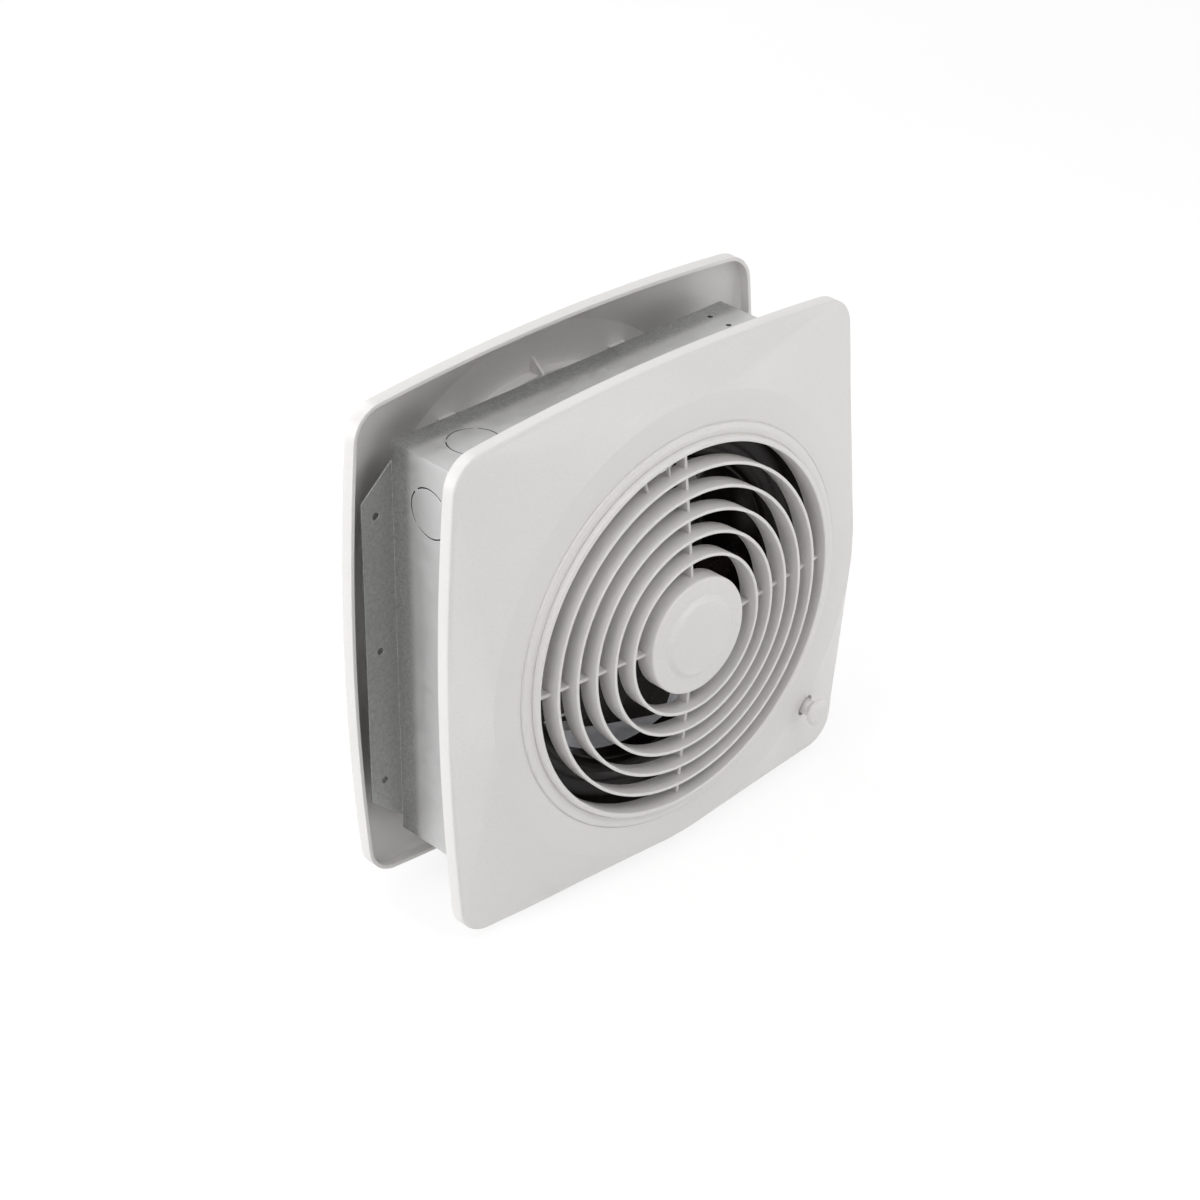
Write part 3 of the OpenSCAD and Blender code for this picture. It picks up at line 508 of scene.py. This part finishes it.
def refined(node, material, bevel, body="case"):
    """A CAD node's shape with its edges broken, as its own piece. A bevel of 0 leaves them."""
    bm = bmesh.new()
    bm.from_mesh(nodes[node].data)
    bmesh.ops.remove_doubles(bm, verts=bm.verts, dist=2e-6)
    bmesh.ops.dissolve_limit(
        bm, angle_limit=math.radians(FLAT_ANGLE), verts=bm.verts, edges=bm.edges
    )
    crisp = [
        e for e in bm.edges
        if len(e.link_faces) == 2 and e.calc_face_angle(0) > math.radians(BROKEN_ANGLE)
    ]
    if bevel:
        bmesh.ops.bevel(
            bm, geom=crisp, offset=bevel * MM, segments=2, profile=0.5, affect="EDGES",
            clamp_overlap=True,
        )
    mesh = bpy.data.meshes.new(node + "_piece")
    bm.to_mesh(mesh)
    bm.free()
    obj = linked(node + "_piece", mesh)
    weighted = obj.modifiers.new("even_normals", "WEIGHTED_NORMAL")
    weighted.keep_sharp = True
    dressed(obj, material, node, body)


def combine(base, others, operation):
    """Joins closed shells to the base as one skin, or cuts them out of it."""
    obj = clean_object("solid", base)
    for other in others:
        helper = clean_object("solid", other)
        tool = obj.modifiers.new("tool", "BOOLEAN")
        tool.operation = operation
        tool.solver = "MANIFOLD"
        tool.object = helper
        graph = bpy.context.evaluated_depsgraph_get()
        result = bpy.data.meshes.new_from_object(obj.evaluated_get(graph))
        obj.modifiers.remove(tool)
        obj.data = result
        bpy.data.objects.remove(helper)
    out = Shells()
    out.add([v.co / MM for v in obj.data.vertices], [list(f.vertices) for f in obj.data.polygons])
    bpy.data.objects.remove(obj)
    return out


# Grille
def column_angles(side_steps, corner_steps):
    """Directions of the outline's normal: close together along the wide side arcs."""
    side = np.linspace(-SIDE_A, SIDE_A, side_steps, endpoint=False)
    corner = np.linspace(SIDE_A, math.pi / 2 - SIDE_A, corner_steps, endpoint=False)
    quarter = np.concatenate([side, corner])
    return np.concatenate([quarter + k * math.pi / 2 for k in range(4)])


def outline_points(angles, inset):
    """Points of the outline, moved in by inset, whose normals have these directions."""
    inset = np.broadcast_to(inset, angles.shape)
    quarter = np.round(angles / (math.pi / 2))
    d = angles - quarter * math.pi / 2
    on_side = np.abs(d) <= SIDE_A + 1e-9
    radius = np.where(on_side, SIDE_R, CORNER_R) - inset
    cx = np.where(on_side, SIDE_C, CORNER_C)
    cy = np.where(on_side, 0, np.sign(d) * CORNER_C)
    x, y = cx + radius * np.cos(d), cy + radius * np.sin(d)
    a = quarter * math.pi / 2
    return np.stack([x * np.cos(a) - y * np.sin(a), x * np.sin(a) + y * np.cos(a)], 1)


def with_height(xy, z):
    """Rows of x and y with a height added, one for all or one for each."""
    return np.concatenate([xy, np.broadcast_to(z, (len(xy),))[:, None]], 1)


def circle_row(angles, r, z):
    return with_height(r * np.stack([np.cos(angles), np.sin(angles)], 1), z)


def blend_rows(a, b, steps):
    """Rows between two rows, without the two themselves."""
    return [a + (b - a) * t for t in np.linspace(0, 1, steps + 2)[1:-1]]


def face_rows(angles, inset, band_top, ridge_r, ridge_z, edge_r, ridge_round, steps):
    """Rows from the skirt's top over its rounded edge, up the face and round the ridge."""
    ridge = circle_row(angles, ridge_r, ridge_z)
    slope = np.full(len(angles), 0.6)
    for _ in range(4):
        a_end = math.pi / 2 - slope
        end_in = inset + edge_r * (1 - np.cos(a_end))
        end_z = band_top - edge_r + edge_r * np.sin(a_end)
        end = with_height(outline_points(angles, end_in), end_z)
        run = np.linalg.norm(end[:, :2] - ridge[:, :2], axis=1)
        slope = np.arctan2(ridge_z - end_z, run)
    rows = []
    for t in np.linspace(0, 1, 7):
        a = t * (math.pi / 2 - slope)
        rows.append(with_height(
            outline_points(angles, inset + edge_r * (1 - np.cos(a))),
            band_top - edge_r + edge_r * np.sin(a),
        ))
    reach = (ridge_round * np.tan(slope / 2))[:, None]
    back = (rows[-1] - ridge) / np.linalg.norm(rows[-1] - ridge, axis=1)[:, None]
    ahead = circle_row(angles, -1, 0)
    p0, p2 = ridge + back * reach, ridge + ahead * reach
    rows += blend_rows(rows[-1], p0, steps)
    for t in np.linspace(0, 1, 6):
        rows.append(p0 * (1 - t) ** 2 + ridge * 2 * t * (1 - t) + p2 * t**2)
    return rows


def grille_shell(shells):
    """The white moulding itself: skirt, face, ridge, stepped bezel and the opening's wall."""
    angles = column_angles(36, 60)
    rows = [with_height(outline_points(angles, 0.3), 0)]
    rows.append(with_height(outline_points(angles, 0.0), 0.3))
    rows.append(with_height(outline_points(angles, 0.0), 3.5))
    rows += face_rows(angles, 0.0, BAND_D, RIDGE_R, FACE_Z, BAND_ROUND, 2.5, 14)
    lip = OPENING_R + LIP_W
    band_z = FACE_Z + STEP_H
    bezel = rounded(
        [
            (RIDGE_R - 4, FACE_Z + 0.03), (STEP_R + 0.9, FACE_Z + 0.12),
            (STEP_R + 0.55, FACE_Z - 0.3), (STEP_R + 0.1, FACE_Z - 0.3),
            (STEP_R - 0.2, band_z), (LEVEL_R, band_z + 0.45), (lip + 0.9, band_z + 0.45),
            (lip + 0.6, band_z - 0.1), (lip + 0.15, band_z - 0.1), (lip - 0.1, GRILLE_D),
            (OPENING_R, GRILLE_D), (OPENING_R, COLLAR_Z), (COLLAR_R, COLLAR_Z),
            (COLLAR_R, BACK_Z), (RIDGE_R - 4, BACK_Z),
        ],
        [0, 0.25, 0.1, 0.1, 0.3, 1.5, 0.25, 0.1, 0.1, 1.1, 0.7, 0.3, 0.3, 0.6, 0], 4,
        closed=False,
    )
    rows += [circle_row(angles, r, z) for r, z in bezel]
    inner = face_rows(
        angles, GRILLE_WALL, BAND_D - GRILLE_WALL, RIDGE_R - GRILLE_WALL / 2, BACK_Z,
        BAND_ROUND, 1.5, 10,
    )
    rows += inner[::-1]
    rows.append(with_height(outline_points(angles, GRILLE_WALL), 3.0))
    rows.append(with_height(outline_points(angles, GRILLE_WALL), 0.3))
    rows.append(with_height(outline_points(angles, GRILLE_WALL - 0.3), 0))
    shells.grid(rows)


def grille_rings():
    """The rings on edge, a little thinner behind, each further forward than the one round it."""
    rings = []
    for k in range(1, RING_N + 1):
        r = OPENING_R + RING_T / 2 - k * RING_PITCH
        front = GRILLE_D + k * RING_RISE
        t = RING_T / 2
        ring = Shells()
        ring.lathe(rounded(
            [(r - t, front), (r + t, front), (r + t * 0.75, front - RING_D),
             (r - t * 0.75, front - RING_D)],
            [0.5, 0.5, 0.25, 0.25], 4,
        ), 200)
        rings.append(ring)
    return rings


def grille_hub():
    """A cup that is open behind, with a raised boss on its face."""
    inside = HUB_R - GRILLE_WALL
    hub = Shells()
    hub.lathe(rounded(
        [
            (0, HUB_Z + BOSS_H), (BOSS_R - 1.6, HUB_Z + BOSS_H), (BOSS_R + 0.4, HUB_Z),
            (HUB_R, HUB_Z), (HUB_R, HUB_Z - RING_D), (inside, HUB_Z - RING_D),
            (inside, HUB_Z - GRILLE_WALL), (0, HUB_Z - GRILLE_WALL),
        ],
        [0, 1.6, 1.6, 1.3, 0.3, 0.3, 1.2, 0], 6, closed=False,
    ), 160)
    return hub


def radial_plate(angle, thickness, profile, bevel):
    """A flat rib on edge: profile gives (radius, height), standing at an angle."""
    plate = Shells()
    plate.prism(profile, thickness, bevel, turn("Z", angle) @ turn("X", 90))
    return plate


def grille_ribs():
    """Spokes with a gusset behind the collar at the end of each, and the two thin webs."""
    outer, inner = OPENING_R + 1, HUB_R - 1
    front, rear = GRILLE_D - SPOKE_BACK, GRILLE_D - RING_D
    tip = COLLAR_Z - 3.3
    web_in = OPENING_R - RING_PITCH
    ribs = []
    for a in range(0, 360, 90):
        ribs.append(radial_plate(a, SPOKE_W, [
            (inner, front + HUB_RISE), (outer, front), (outer, rear), (inner, rear + HUB_RISE),
        ], 0.3))
        ribs.append(radial_plate(a, GUSSET_T, [
            (OPENING_R + 0.6, BACK_Z + 0.6), (STEP_R + 1.4, BACK_Z + 0.6),
            (STEP_R + 0.9, BACK_Z - 1.5), (OPENING_R + 4, tip), (OPENING_R + 0.6, tip),
        ], 0.25))
    for a in WEB_ANGLES:
        ribs.append(radial_plate(a, WEB_W, [
            (web_in, front - 1), (outer, front - 1), (outer, front + 1), (web_in, front + 1),
        ], 0.2))
    return ribs


def snap_legs(sheet_z, grip):
    """Legs that hook behind a sheet whose near face is at sheet_z and which is grip thick."""
    hook = 1.4
    catch = sheet_z - grip - LEG_PLAY
    end = catch - 4
    side_view = [
        (0, BACK_Z + 0.6), (LEG_T, BACK_Z + 0.6), (LEG_T, catch), (LEG_T + hook, catch - 0.5),
        (LEG_T - 0.4, end), (0, end),
    ]
    mirrored = [(-u, v) for u, v in side_view]
    stand = turn("Z", 90) @ turn("X", 90)
    legs = []
    for x in (-LEG_X, LEG_X):
        for outline, y in ((side_view, LEG_Z - LEG_T), (mirrored, LEG_T - LEG_Z)):
            leg = Shells()
            leg.prism(outline, LEG_W, 0.25, shift(x, y, 0) @ stand)
            legs.append(leg)
    return legs


# Both grilles come from one moulding, and the front one has a hole for the knob through its face
shell = Shells()
grille_shell(shell)
moulding = combine(shell, [grille_hub()] + grille_rings() + grille_ribs(), "UNION")
hole = Shells()
hole.lathe([(0, 10), (KNOB_HOLE_R, 10), (KNOB_HOLE_R, 60), (0, 60)], 64)
front = combine(moulding, snap_legs(FRONT_REACH + ORIFICE_T, ORIFICE_T), "UNION")
front = combine(front, [hole.moved(shift(KNOB_X, KNOB_Z, 0))], "DIFFERENCE")
rear = combine(moulding, snap_legs(0, SHEET), "UNION")
for name, shape, place, node in (
    ("front_grille_moulding", front, facing_front(FRONT_RIM_Y), "front_grille"),
    ("rear_grille_moulding", rear, facing_rear(0), "rear_grille"),
):
    as_object(name, shape.moved(place), WHITE, node)

# Housing
for sheet in ("housing_top", "housing_bottom", "housing_left", "housing_right"):
    refined(sheet, ZINC, 0.22)
for sheet in ("motor_strap", "wiring_cover"):
    refined(sheet, ZINC, 0.25)


# Duct
def orifice(shells):
    """Square plate with cut corners, a flared mouth and a straight duct, as one closed skin."""
    reach = HOUSING_HALF - 2
    chamfer = CORNER_CUT * math.sqrt(2)
    n = 240
    angles = np.arange(n) * 2 * math.pi / n
    c, s = np.cos(angles), np.sin(angles)
    to_side = reach / np.maximum(np.abs(c), np.abs(s))
    to_cut = (2 * reach - chamfer) / (np.abs(c) + np.abs(s))
    edge_r = np.minimum(to_side, to_cut)

    def edge(inset, z):
        r = edge_r - inset
        return np.stack([r * c, r * s, np.full(n, z)], 1)

    def flare(rim_r, end_r, z0, steps):
        a = np.linspace(0, math.pi / 2, steps + 1)
        return [
            (rim_r + (end_r - rim_r) * math.sin(t), z0 + (-MOUTH_D - z0) * (1 - math.cos(t)))
            for t in a
        ]

    lip = 1.2
    rows = [edge(0, -ORIFICE_T + 0.3), edge(0, -0.3), edge(0.3, 0)]
    rows += [circle_row(angles, MOUTH_R + 1, 0)]
    rows += [circle_row(angles, r, z) for r, z in flare(MOUTH_R, DUCT_R + lip, 0, 20)]
    end = -MOUTH_D - DUCT_L
    duct = rounded(
        [(DUCT_R + lip, -MOUTH_D), (DUCT_R, -MOUTH_D - 0.1), (DUCT_R, end),
         (DUCT_R + DUCT_WALL, end), (DUCT_R + DUCT_WALL, -MOUTH_D)],
        [0, 0.3, 0.5, 0.5, 0], 3, closed=False,
    )
    rows += [circle_row(angles, r, z) for r, z in duct[1:-1]]
    rows += [
        circle_row(angles, r, z)
        for r, z in flare(MOUTH_R, DUCT_R + DUCT_WALL + 0.2, -ORIFICE_T, 14)[::-1]
    ]
    rows += [edge(0.3, -ORIFICE_T)]
    shells.grid(rows)


plate = Shells()
orifice(plate)
as_object("orifice_moulding", plate.moved(facing_front(ORIFICE_Y)), BLACK, "orifice_duct")


# Propeller
def blade_grid(rows, cols):
    """Points of a blade's two faces, by the same rule as in the part's source."""
    t = np.linspace(0, 1, rows)[:, None]
    u = np.sin(np.linspace(-math.pi / 2, math.pi / 2, cols))[None, :]
    r = PROP_HUB_R - 1.5 + (TIP_R - PROP_HUB_R + 1.5) * t
    pitch = np.radians(ROOT_PITCH + (TIP_PITCH - ROOT_PITCH) * t)
    swell = np.sin(np.radians(t * 120)) / math.sin(math.radians(120))
    half = (ROOT_HALF + (WIDE_HALF - ROOT_HALF) * swell) * (1 - TIP_TAPER * t**8)
    along = u * half
    faces = []
    for side in (1, -1):
        across = CAMBER * (1 - u**2) + side * BLADE_T / 2 * (1 - 0.4 * t) * (1 - 0.75 * u**2)
        a = (along * np.cos(pitch) - across * np.sin(pitch) + SWEEP * t**2) / r
        y = along * np.sin(pitch) * 0.75 + across * np.cos(pitch)
        faces.append(np.stack([r * np.sin(a), y, r * np.cos(a)], 2))
    return faces


def blade(shells, angle):
    """One blade as a closed shell: its two faces as a loop of rows, and both of its ends."""
    upper, lower = blade_grid(34, 22)
    loop = np.concatenate([upper, lower[:, ::-1]], 1)
    rows, n = loop.shape[:2]
    points = loop.reshape(-1, 3)
    faces = [
        [i * n + j, i * n + (j + 1) % n, (i + 1) * n + (j + 1) % n, (i + 1) * n + j]
        for i in range(rows - 1) for j in range(n)
    ]
    for base, flip in ((0, False), ((rows - 1) * n, True)):
        for j in range(n // 2 - 1):
            f = [base + j, base + n - 1 - j, base + n - 2 - j, base + j + 1]
            faces.append(f[::-1] if flip else f)
    part = Shells()
    part.add(points, faces)
    shells.extend(part, turn("Y", angle) @ shift(0, BLADE_Y, 0))


def propeller_hub():
    inside, bottom = PROP_HUB_R - HUB_WALL, HUB_LEN - HUB_FLOOR
    hub = Shells()
    hub.lathe(rounded(
        [
            (SHAFT_R, -NECK_L), (NECK_R, -NECK_L), (NECK_R, bottom), (inside, bottom),
            (inside, 0), (PROP_HUB_R, 0), (PROP_HUB_R, HUB_LEN), (0, HUB_LEN), (0, bottom),
            (SHAFT_R, bottom),
        ],
        [0.2, 0.3, 0.6, 0.8, 0.3, 0.3, 2.6, 0, 0, 0], 5,
    ), 96)
    return hub


fan = Shells()
fan.extend(propeller_hub(), facing_front(HUB_REAR_Y))
for k in range(BLADE_N):
    blade(fan, k * 360 / BLADE_N + BLADE_TURN)
as_object("propeller_moulding", fan, BLADES, "propeller", "rotor")


# Knob
knob = Shells()
knob.lathe(rounded(
    [
        (CONTROL_SHAFT_R, 0), (STEM_R, 0), (STEM_R, KNOB_L - 6.4), (KNOB_R - 1.4, KNOB_L - 4.2),
        (KNOB_R, KNOB_L - 3), (KNOB_R - 0.9, KNOB_L - 1.1), (KNOB_R - 3.6, KNOB_L - 0.28),
        (0, KNOB_L), (0, KNOB_BORE_L), (CONTROL_SHAFT_R, KNOB_BORE_L),
    ],
    [0.2, 0.4, 1.6, 1.0, 1.2, 2.0, 4.0, 0, 0, 0], 5,
), 96)
as_object(
    "knob_moulding", knob.moved(shift(KNOB_X, KNOB_END_Y, KNOB_Z) @ turn("X", 90)), WHITE,
    "speed_knob", "knob",
)

# Smaller pieces keep their CAD shape, with broken edges
PLAIN = [
    ("orifice_screws", BRIGHT, 0.12, "case"), ("hub_clamp", BRIGHT, 0.1, "rotor"),
    ("motor_shaft", SHAFT_STEEL, 0.2, "rotor"), ("rotor_core", IRON, 0.2, "rotor"),
    ("thrust_washers", FIBRE, 0.08, "rotor"), ("stator_core", STEEL_STACK, 0.2, "case"),
    ("shading_rings", COPPER, 0.1, "case"), ("coil_bobbin", NYLON, 0.2, "case"),
    ("coil_winding", TAPE, 0.3, "case"), ("front_bearing_bracket", CAST, 0.4, "case"),
    ("rear_bearing_bracket", CAST, 0.4, "case"), ("front_bearing", BRONZE, 0.15, "case"),
    ("rear_bearing", BRONZE, 0.15, "case"), ("motor_screws", BRIGHT, 0.12, "case"),
    ("motor_nuts", BRIGHT, 0.12, "case"), ("wiring_cover_screw", BRIGHT, 0.12, "case"),
    ("ground_screw", GREEN, 0.12, "case"), ("motor_socket", NYLON, 0.2, "case"),
    ("motor_plug", NYLON, 0.25, "case"), ("control_case", CASE_BLACK, 0.4, "case"),
    ("control_bushing", BRIGHT, 0.1, "case"), ("control_nut", BRIGHT, 0.12, "case"),
    ("control_shaft", SHAFT_STEEL, 0.15, "knob"), ("lead_clips", NYLON, 0.2, "case"),
    ("duct_label", PAPER, 0, "case"),
]
for node, material, bevel, body in PLAIN:
    refined(node, material, bevel, body)


# Leads
def smooth_line(points, step):
    """A curve through all the points, with a place about every step along it."""
    p =[np.array(q, float) for q in points]
    last = len(p) - 1
    line = []
    for i in range(last):
        n = math.ceil(np.linalg.norm(p[i + 1] - p[i]) / step)
        p0, p1, p2, p3 = p[max(i - 1, 0)], p[i], p[i + 1], p[min(i + 2, last)]
        for k in range(n):
            t = k / n
            line.append((
                2 * p1 + (p2 - p0) * t + (2 * p0 - 5 * p1 + 4 * p2 - p3) * t * t
                + (3 * p1 - p0 - 3 * p2 + p3) * t**3
            ) / 2)
    return line + [p[last]]


def lead(name, route, node):
    """A round lead along a route that nowhere runs parallel to the Y axis."""
    line = smooth_line(route, 3)
    sides = 20
    rows = []
    for i, p in enumerate(line):
        t = line[min(i + 1, len(line) - 1)] - line[max(i - 1, 0)]
        t /= np.linalg.norm(t)
        u = np.cross(t, [0, 1, 0])
        u /= np.linalg.norm(u)
        v = np.cross(u, t)
        a = np.arange(sides) * 2 * math.pi / sides
        rows.append(p + LEAD_R * (np.cos(a)[:, None] * u + np.sin(a)[:, None] * v))
    tube = Shells()
    tube.grid([np.tile(line[0], (sides, 1))] + rows + [np.tile(line[-1], (sides, 1))], False)
    as_object(name, tube, LEAD, node)


# The routes of the two leads, as in the part's source
MOTOR_ROUTE = [
    (-95, -22, 45.8), (-95, -24, 20), (-95, -24, -20), (-88, -19, -44), (-60, -15, -56),
    (-36, -13, -58), (-17.5, -13, -58),
]
CONTROL_ROUTE = [
    (100, -62, -81), (100, -58, -66), (101, -46, -44), (101, -46, -30), (101, -46, 30),
    (101, -46, 44), (98, -46, 70), (86, -46, 91), (62, -46, 101), (34, -46, 101),
    (-34, -46, 101), (-77, -46, 101),
]
lead("motor_lead_tube", MOTOR_ROUTE, "motor_lead")
lead("control_lead_tube", CONTROL_ROUTE, "control_lead")


# Floor, light and camera
def calculated(tree, kind, a, b):
    """The outcome of one sum in a node tree, of a socket a and a socket or number b."""
    node = tree.nodes.new("ShaderNodeMath")
    node.operation = kind
    tree.links.new(a, node.inputs[0])
    if isinstance(b, bpy.types.NodeSocket):
        tree.links.new(b, node.inputs[1])
    else:
        node.inputs[1].default_value = b
    return node.outputs[0]


def seen_directly(tree):
    """1 for rays from the camera, a mirror or glass, which see the backdrop as white."""
    path = tree.nodes.new("ShaderNodeLightPath").outputs
    value = calculated(tree, "MAXIMUM", path["Is Camera Ray"], path["Is Glossy Ray"])
    return calculated(tree, "MAXIMUM", value, path["Is Transmission Ray"])


def floor():
    """A wide white floor just under the fan, which glows a little where it is seen directly."""
    s = Surface("studio_floor", 0.9)
    s.colour(s.ramp(s.noise(3, 2), 0.93, 0.95, 0.4, 0.6))
    glow = s.tree.nodes.new("ShaderNodeEmission")
    glow.inputs["Strength"].default_value = FLOOR_GLOW
    mixer = s.tree.nodes.new("ShaderNodeMixShader")
    share = calculated(s.tree, "MULTIPLY", seen_directly(s.tree), FLOOR_SHARE)
    s.link(share, mixer.inputs[0])
    s.link(s.shader.outputs[0], mixer.inputs[1])
    s.link(glow.outputs[0], mixer.inputs[2])
    s.link(mixer.outputs[0], s.out.inputs[0])
    mesh = bpy.data.meshes.new("floor")
    half, z = FLOOR_HALF, cad_box[0].z - FLOOR_GAP
    mesh.from_pydata(
        [(-half, -half, z), (half, -half, z), (half, half, z), (-half, half, z)], [], [[0, 1, 2, 3]]
    )
    mesh.materials.append(s.material)
    linked("floor", mesh)


def room_light(tree, room):
    """Light of the room: each direction has its own level, with soft changes between them."""
    coords = tree.nodes.new("ShaderNodeTexCoord").outputs["Generated"]
    total = None
    for direction, level in room:
        along = tree.nodes.new("ShaderNodeVectorMath")
        along.operation = "DOT_PRODUCT"
        along.inputs[1].default_value = direction
        tree.links.new(coords, along.inputs[0])
        facing = calculated(tree, "MAXIMUM", along.outputs["Value"], 0.0)
        value = calculated(tree, "MULTIPLY", calculated(tree, "POWER", facing, 2.0), level)
        total = calculated(tree, "ADD", total, value) if total is not None else value
    return total


def world(room):
    """White where it is seen directly, and otherwise the light of the room."""
    w = bpy.data.worlds.new("studio")
    w.use_nodes = True
    tree = w.node_tree
    tree.nodes.clear()
    lit = tree.nodes.new("ShaderNodeBackground")
    white = tree.nodes.new("ShaderNodeBackground")
    for shade in (lit, white):
        shade.inputs["Color"].default_value = (1, 1, 1, 1)
    tree.links.new(room_light(tree, room), lit.inputs["Strength"])
    mixer = tree.nodes.new("ShaderNodeMixShader")
    tree.links.new(seen_directly(tree), mixer.inputs[0])
    tree.links.new(lit.outputs[0], mixer.inputs[1])
    tree.links.new(white.outputs[0], mixer.inputs[2])
    out = tree.nodes.new("ShaderNodeOutputWorld")
    tree.links.new(mixer.outputs[0], out.inputs[0])
    bpy.context.scene.world = w


def softbox(name, azimuth, elevation, distance, size, level):
    """An area lamp aimed at the fan's middle, distance and size in metres.

    Azimuth 0 is in front of the knob's side, and azimuth 90 on the left as seen from there.
    The level is the brightness of a white surface at the fan that faces the lamp."""
    lamp = bpy.data.lights.new(name, "AREA")
    lamp.shape = "SQUARE"
    lamp.size = size
    lamp.energy = level * (math.pi * distance) ** 2
    obj = linked(name, lamp)
    aim = turn("Z", -azimuth) @ turn("X", -elevation) @ Vector((0, -1, 0))
    centre = (cad_box[0] + cad_box[1]) / 2
    obj.location = centre + aim * distance
    obj.rotation_euler = aim.to_track_quat("Z", "Y").to_euler()


# The floor's half width and its gap below the fan, in metres, then its glow and the glow's share
FLOOR_HALF = 6.0
FLOOR_GAP = 0.0004
FLOOR_GLOW = 1.08
FLOOR_SHARE = 0.75

# Direction and level of each part of the room's light
ROOM = (
    ((1, 0, 0), 0.4), ((-1, 0, 0), 0.5), ((0, 1, 0), 0.35), ((0, -1, 0), 0.03), ((0, 0, 1), 0.33),
)

# Name, azimuth, elevation, distance, size and level of each lamp
SOFTBOXES = (
    ("left_key", 72, 38, 2.4, 1.1, 0.18), ("front_top", 350, 52, 2.4, 1.1, 0.24),
    ("back_left", 135, 8, 2.4, 1.1, 0.38), ("back_top", 180, 38, 2.4, 1.1, 0.26),
    ("front_right", 318, 4, 0.85, 0.5, 0.17), ("left_top", 90, 66, 2.4, 1.1, 0.16),
)

floor()
world(ROOM)
for lamp in SOFTBOXES:
    softbox(*lamp)

# The camera as solved from the photo: place in metres, directions, and lens in millimetres
CAMERA_PLACE = (-0.94777, -1.00761, 0.81555)
CAMERA_RIGHT = Vector((0.72134, -0.69255, 0.00675))
CAMERA_UP = Vector((0.35486, 0.37795, 0.85512))
CAMERA_LENS = 91.62
CAMERA_SENSOR = 36.0

camera = bpy.data.cameras.new("camera")
camera.lens = CAMERA_LENS
camera.sensor_width = CAMERA_SENSOR
camera.sensor_fit = "AUTO"
viewer = linked("camera", camera)
axes = Matrix((CAMERA_RIGHT, CAMERA_UP, CAMERA_RIGHT.cross(CAMERA_UP)))
viewer.matrix_world = shift(*CAMERA_PLACE) @ axes.transposed().to_4x4()
bpy.context.scene.camera = viewer
bpy.context.scene.view_settings.view_transform = "Standard"
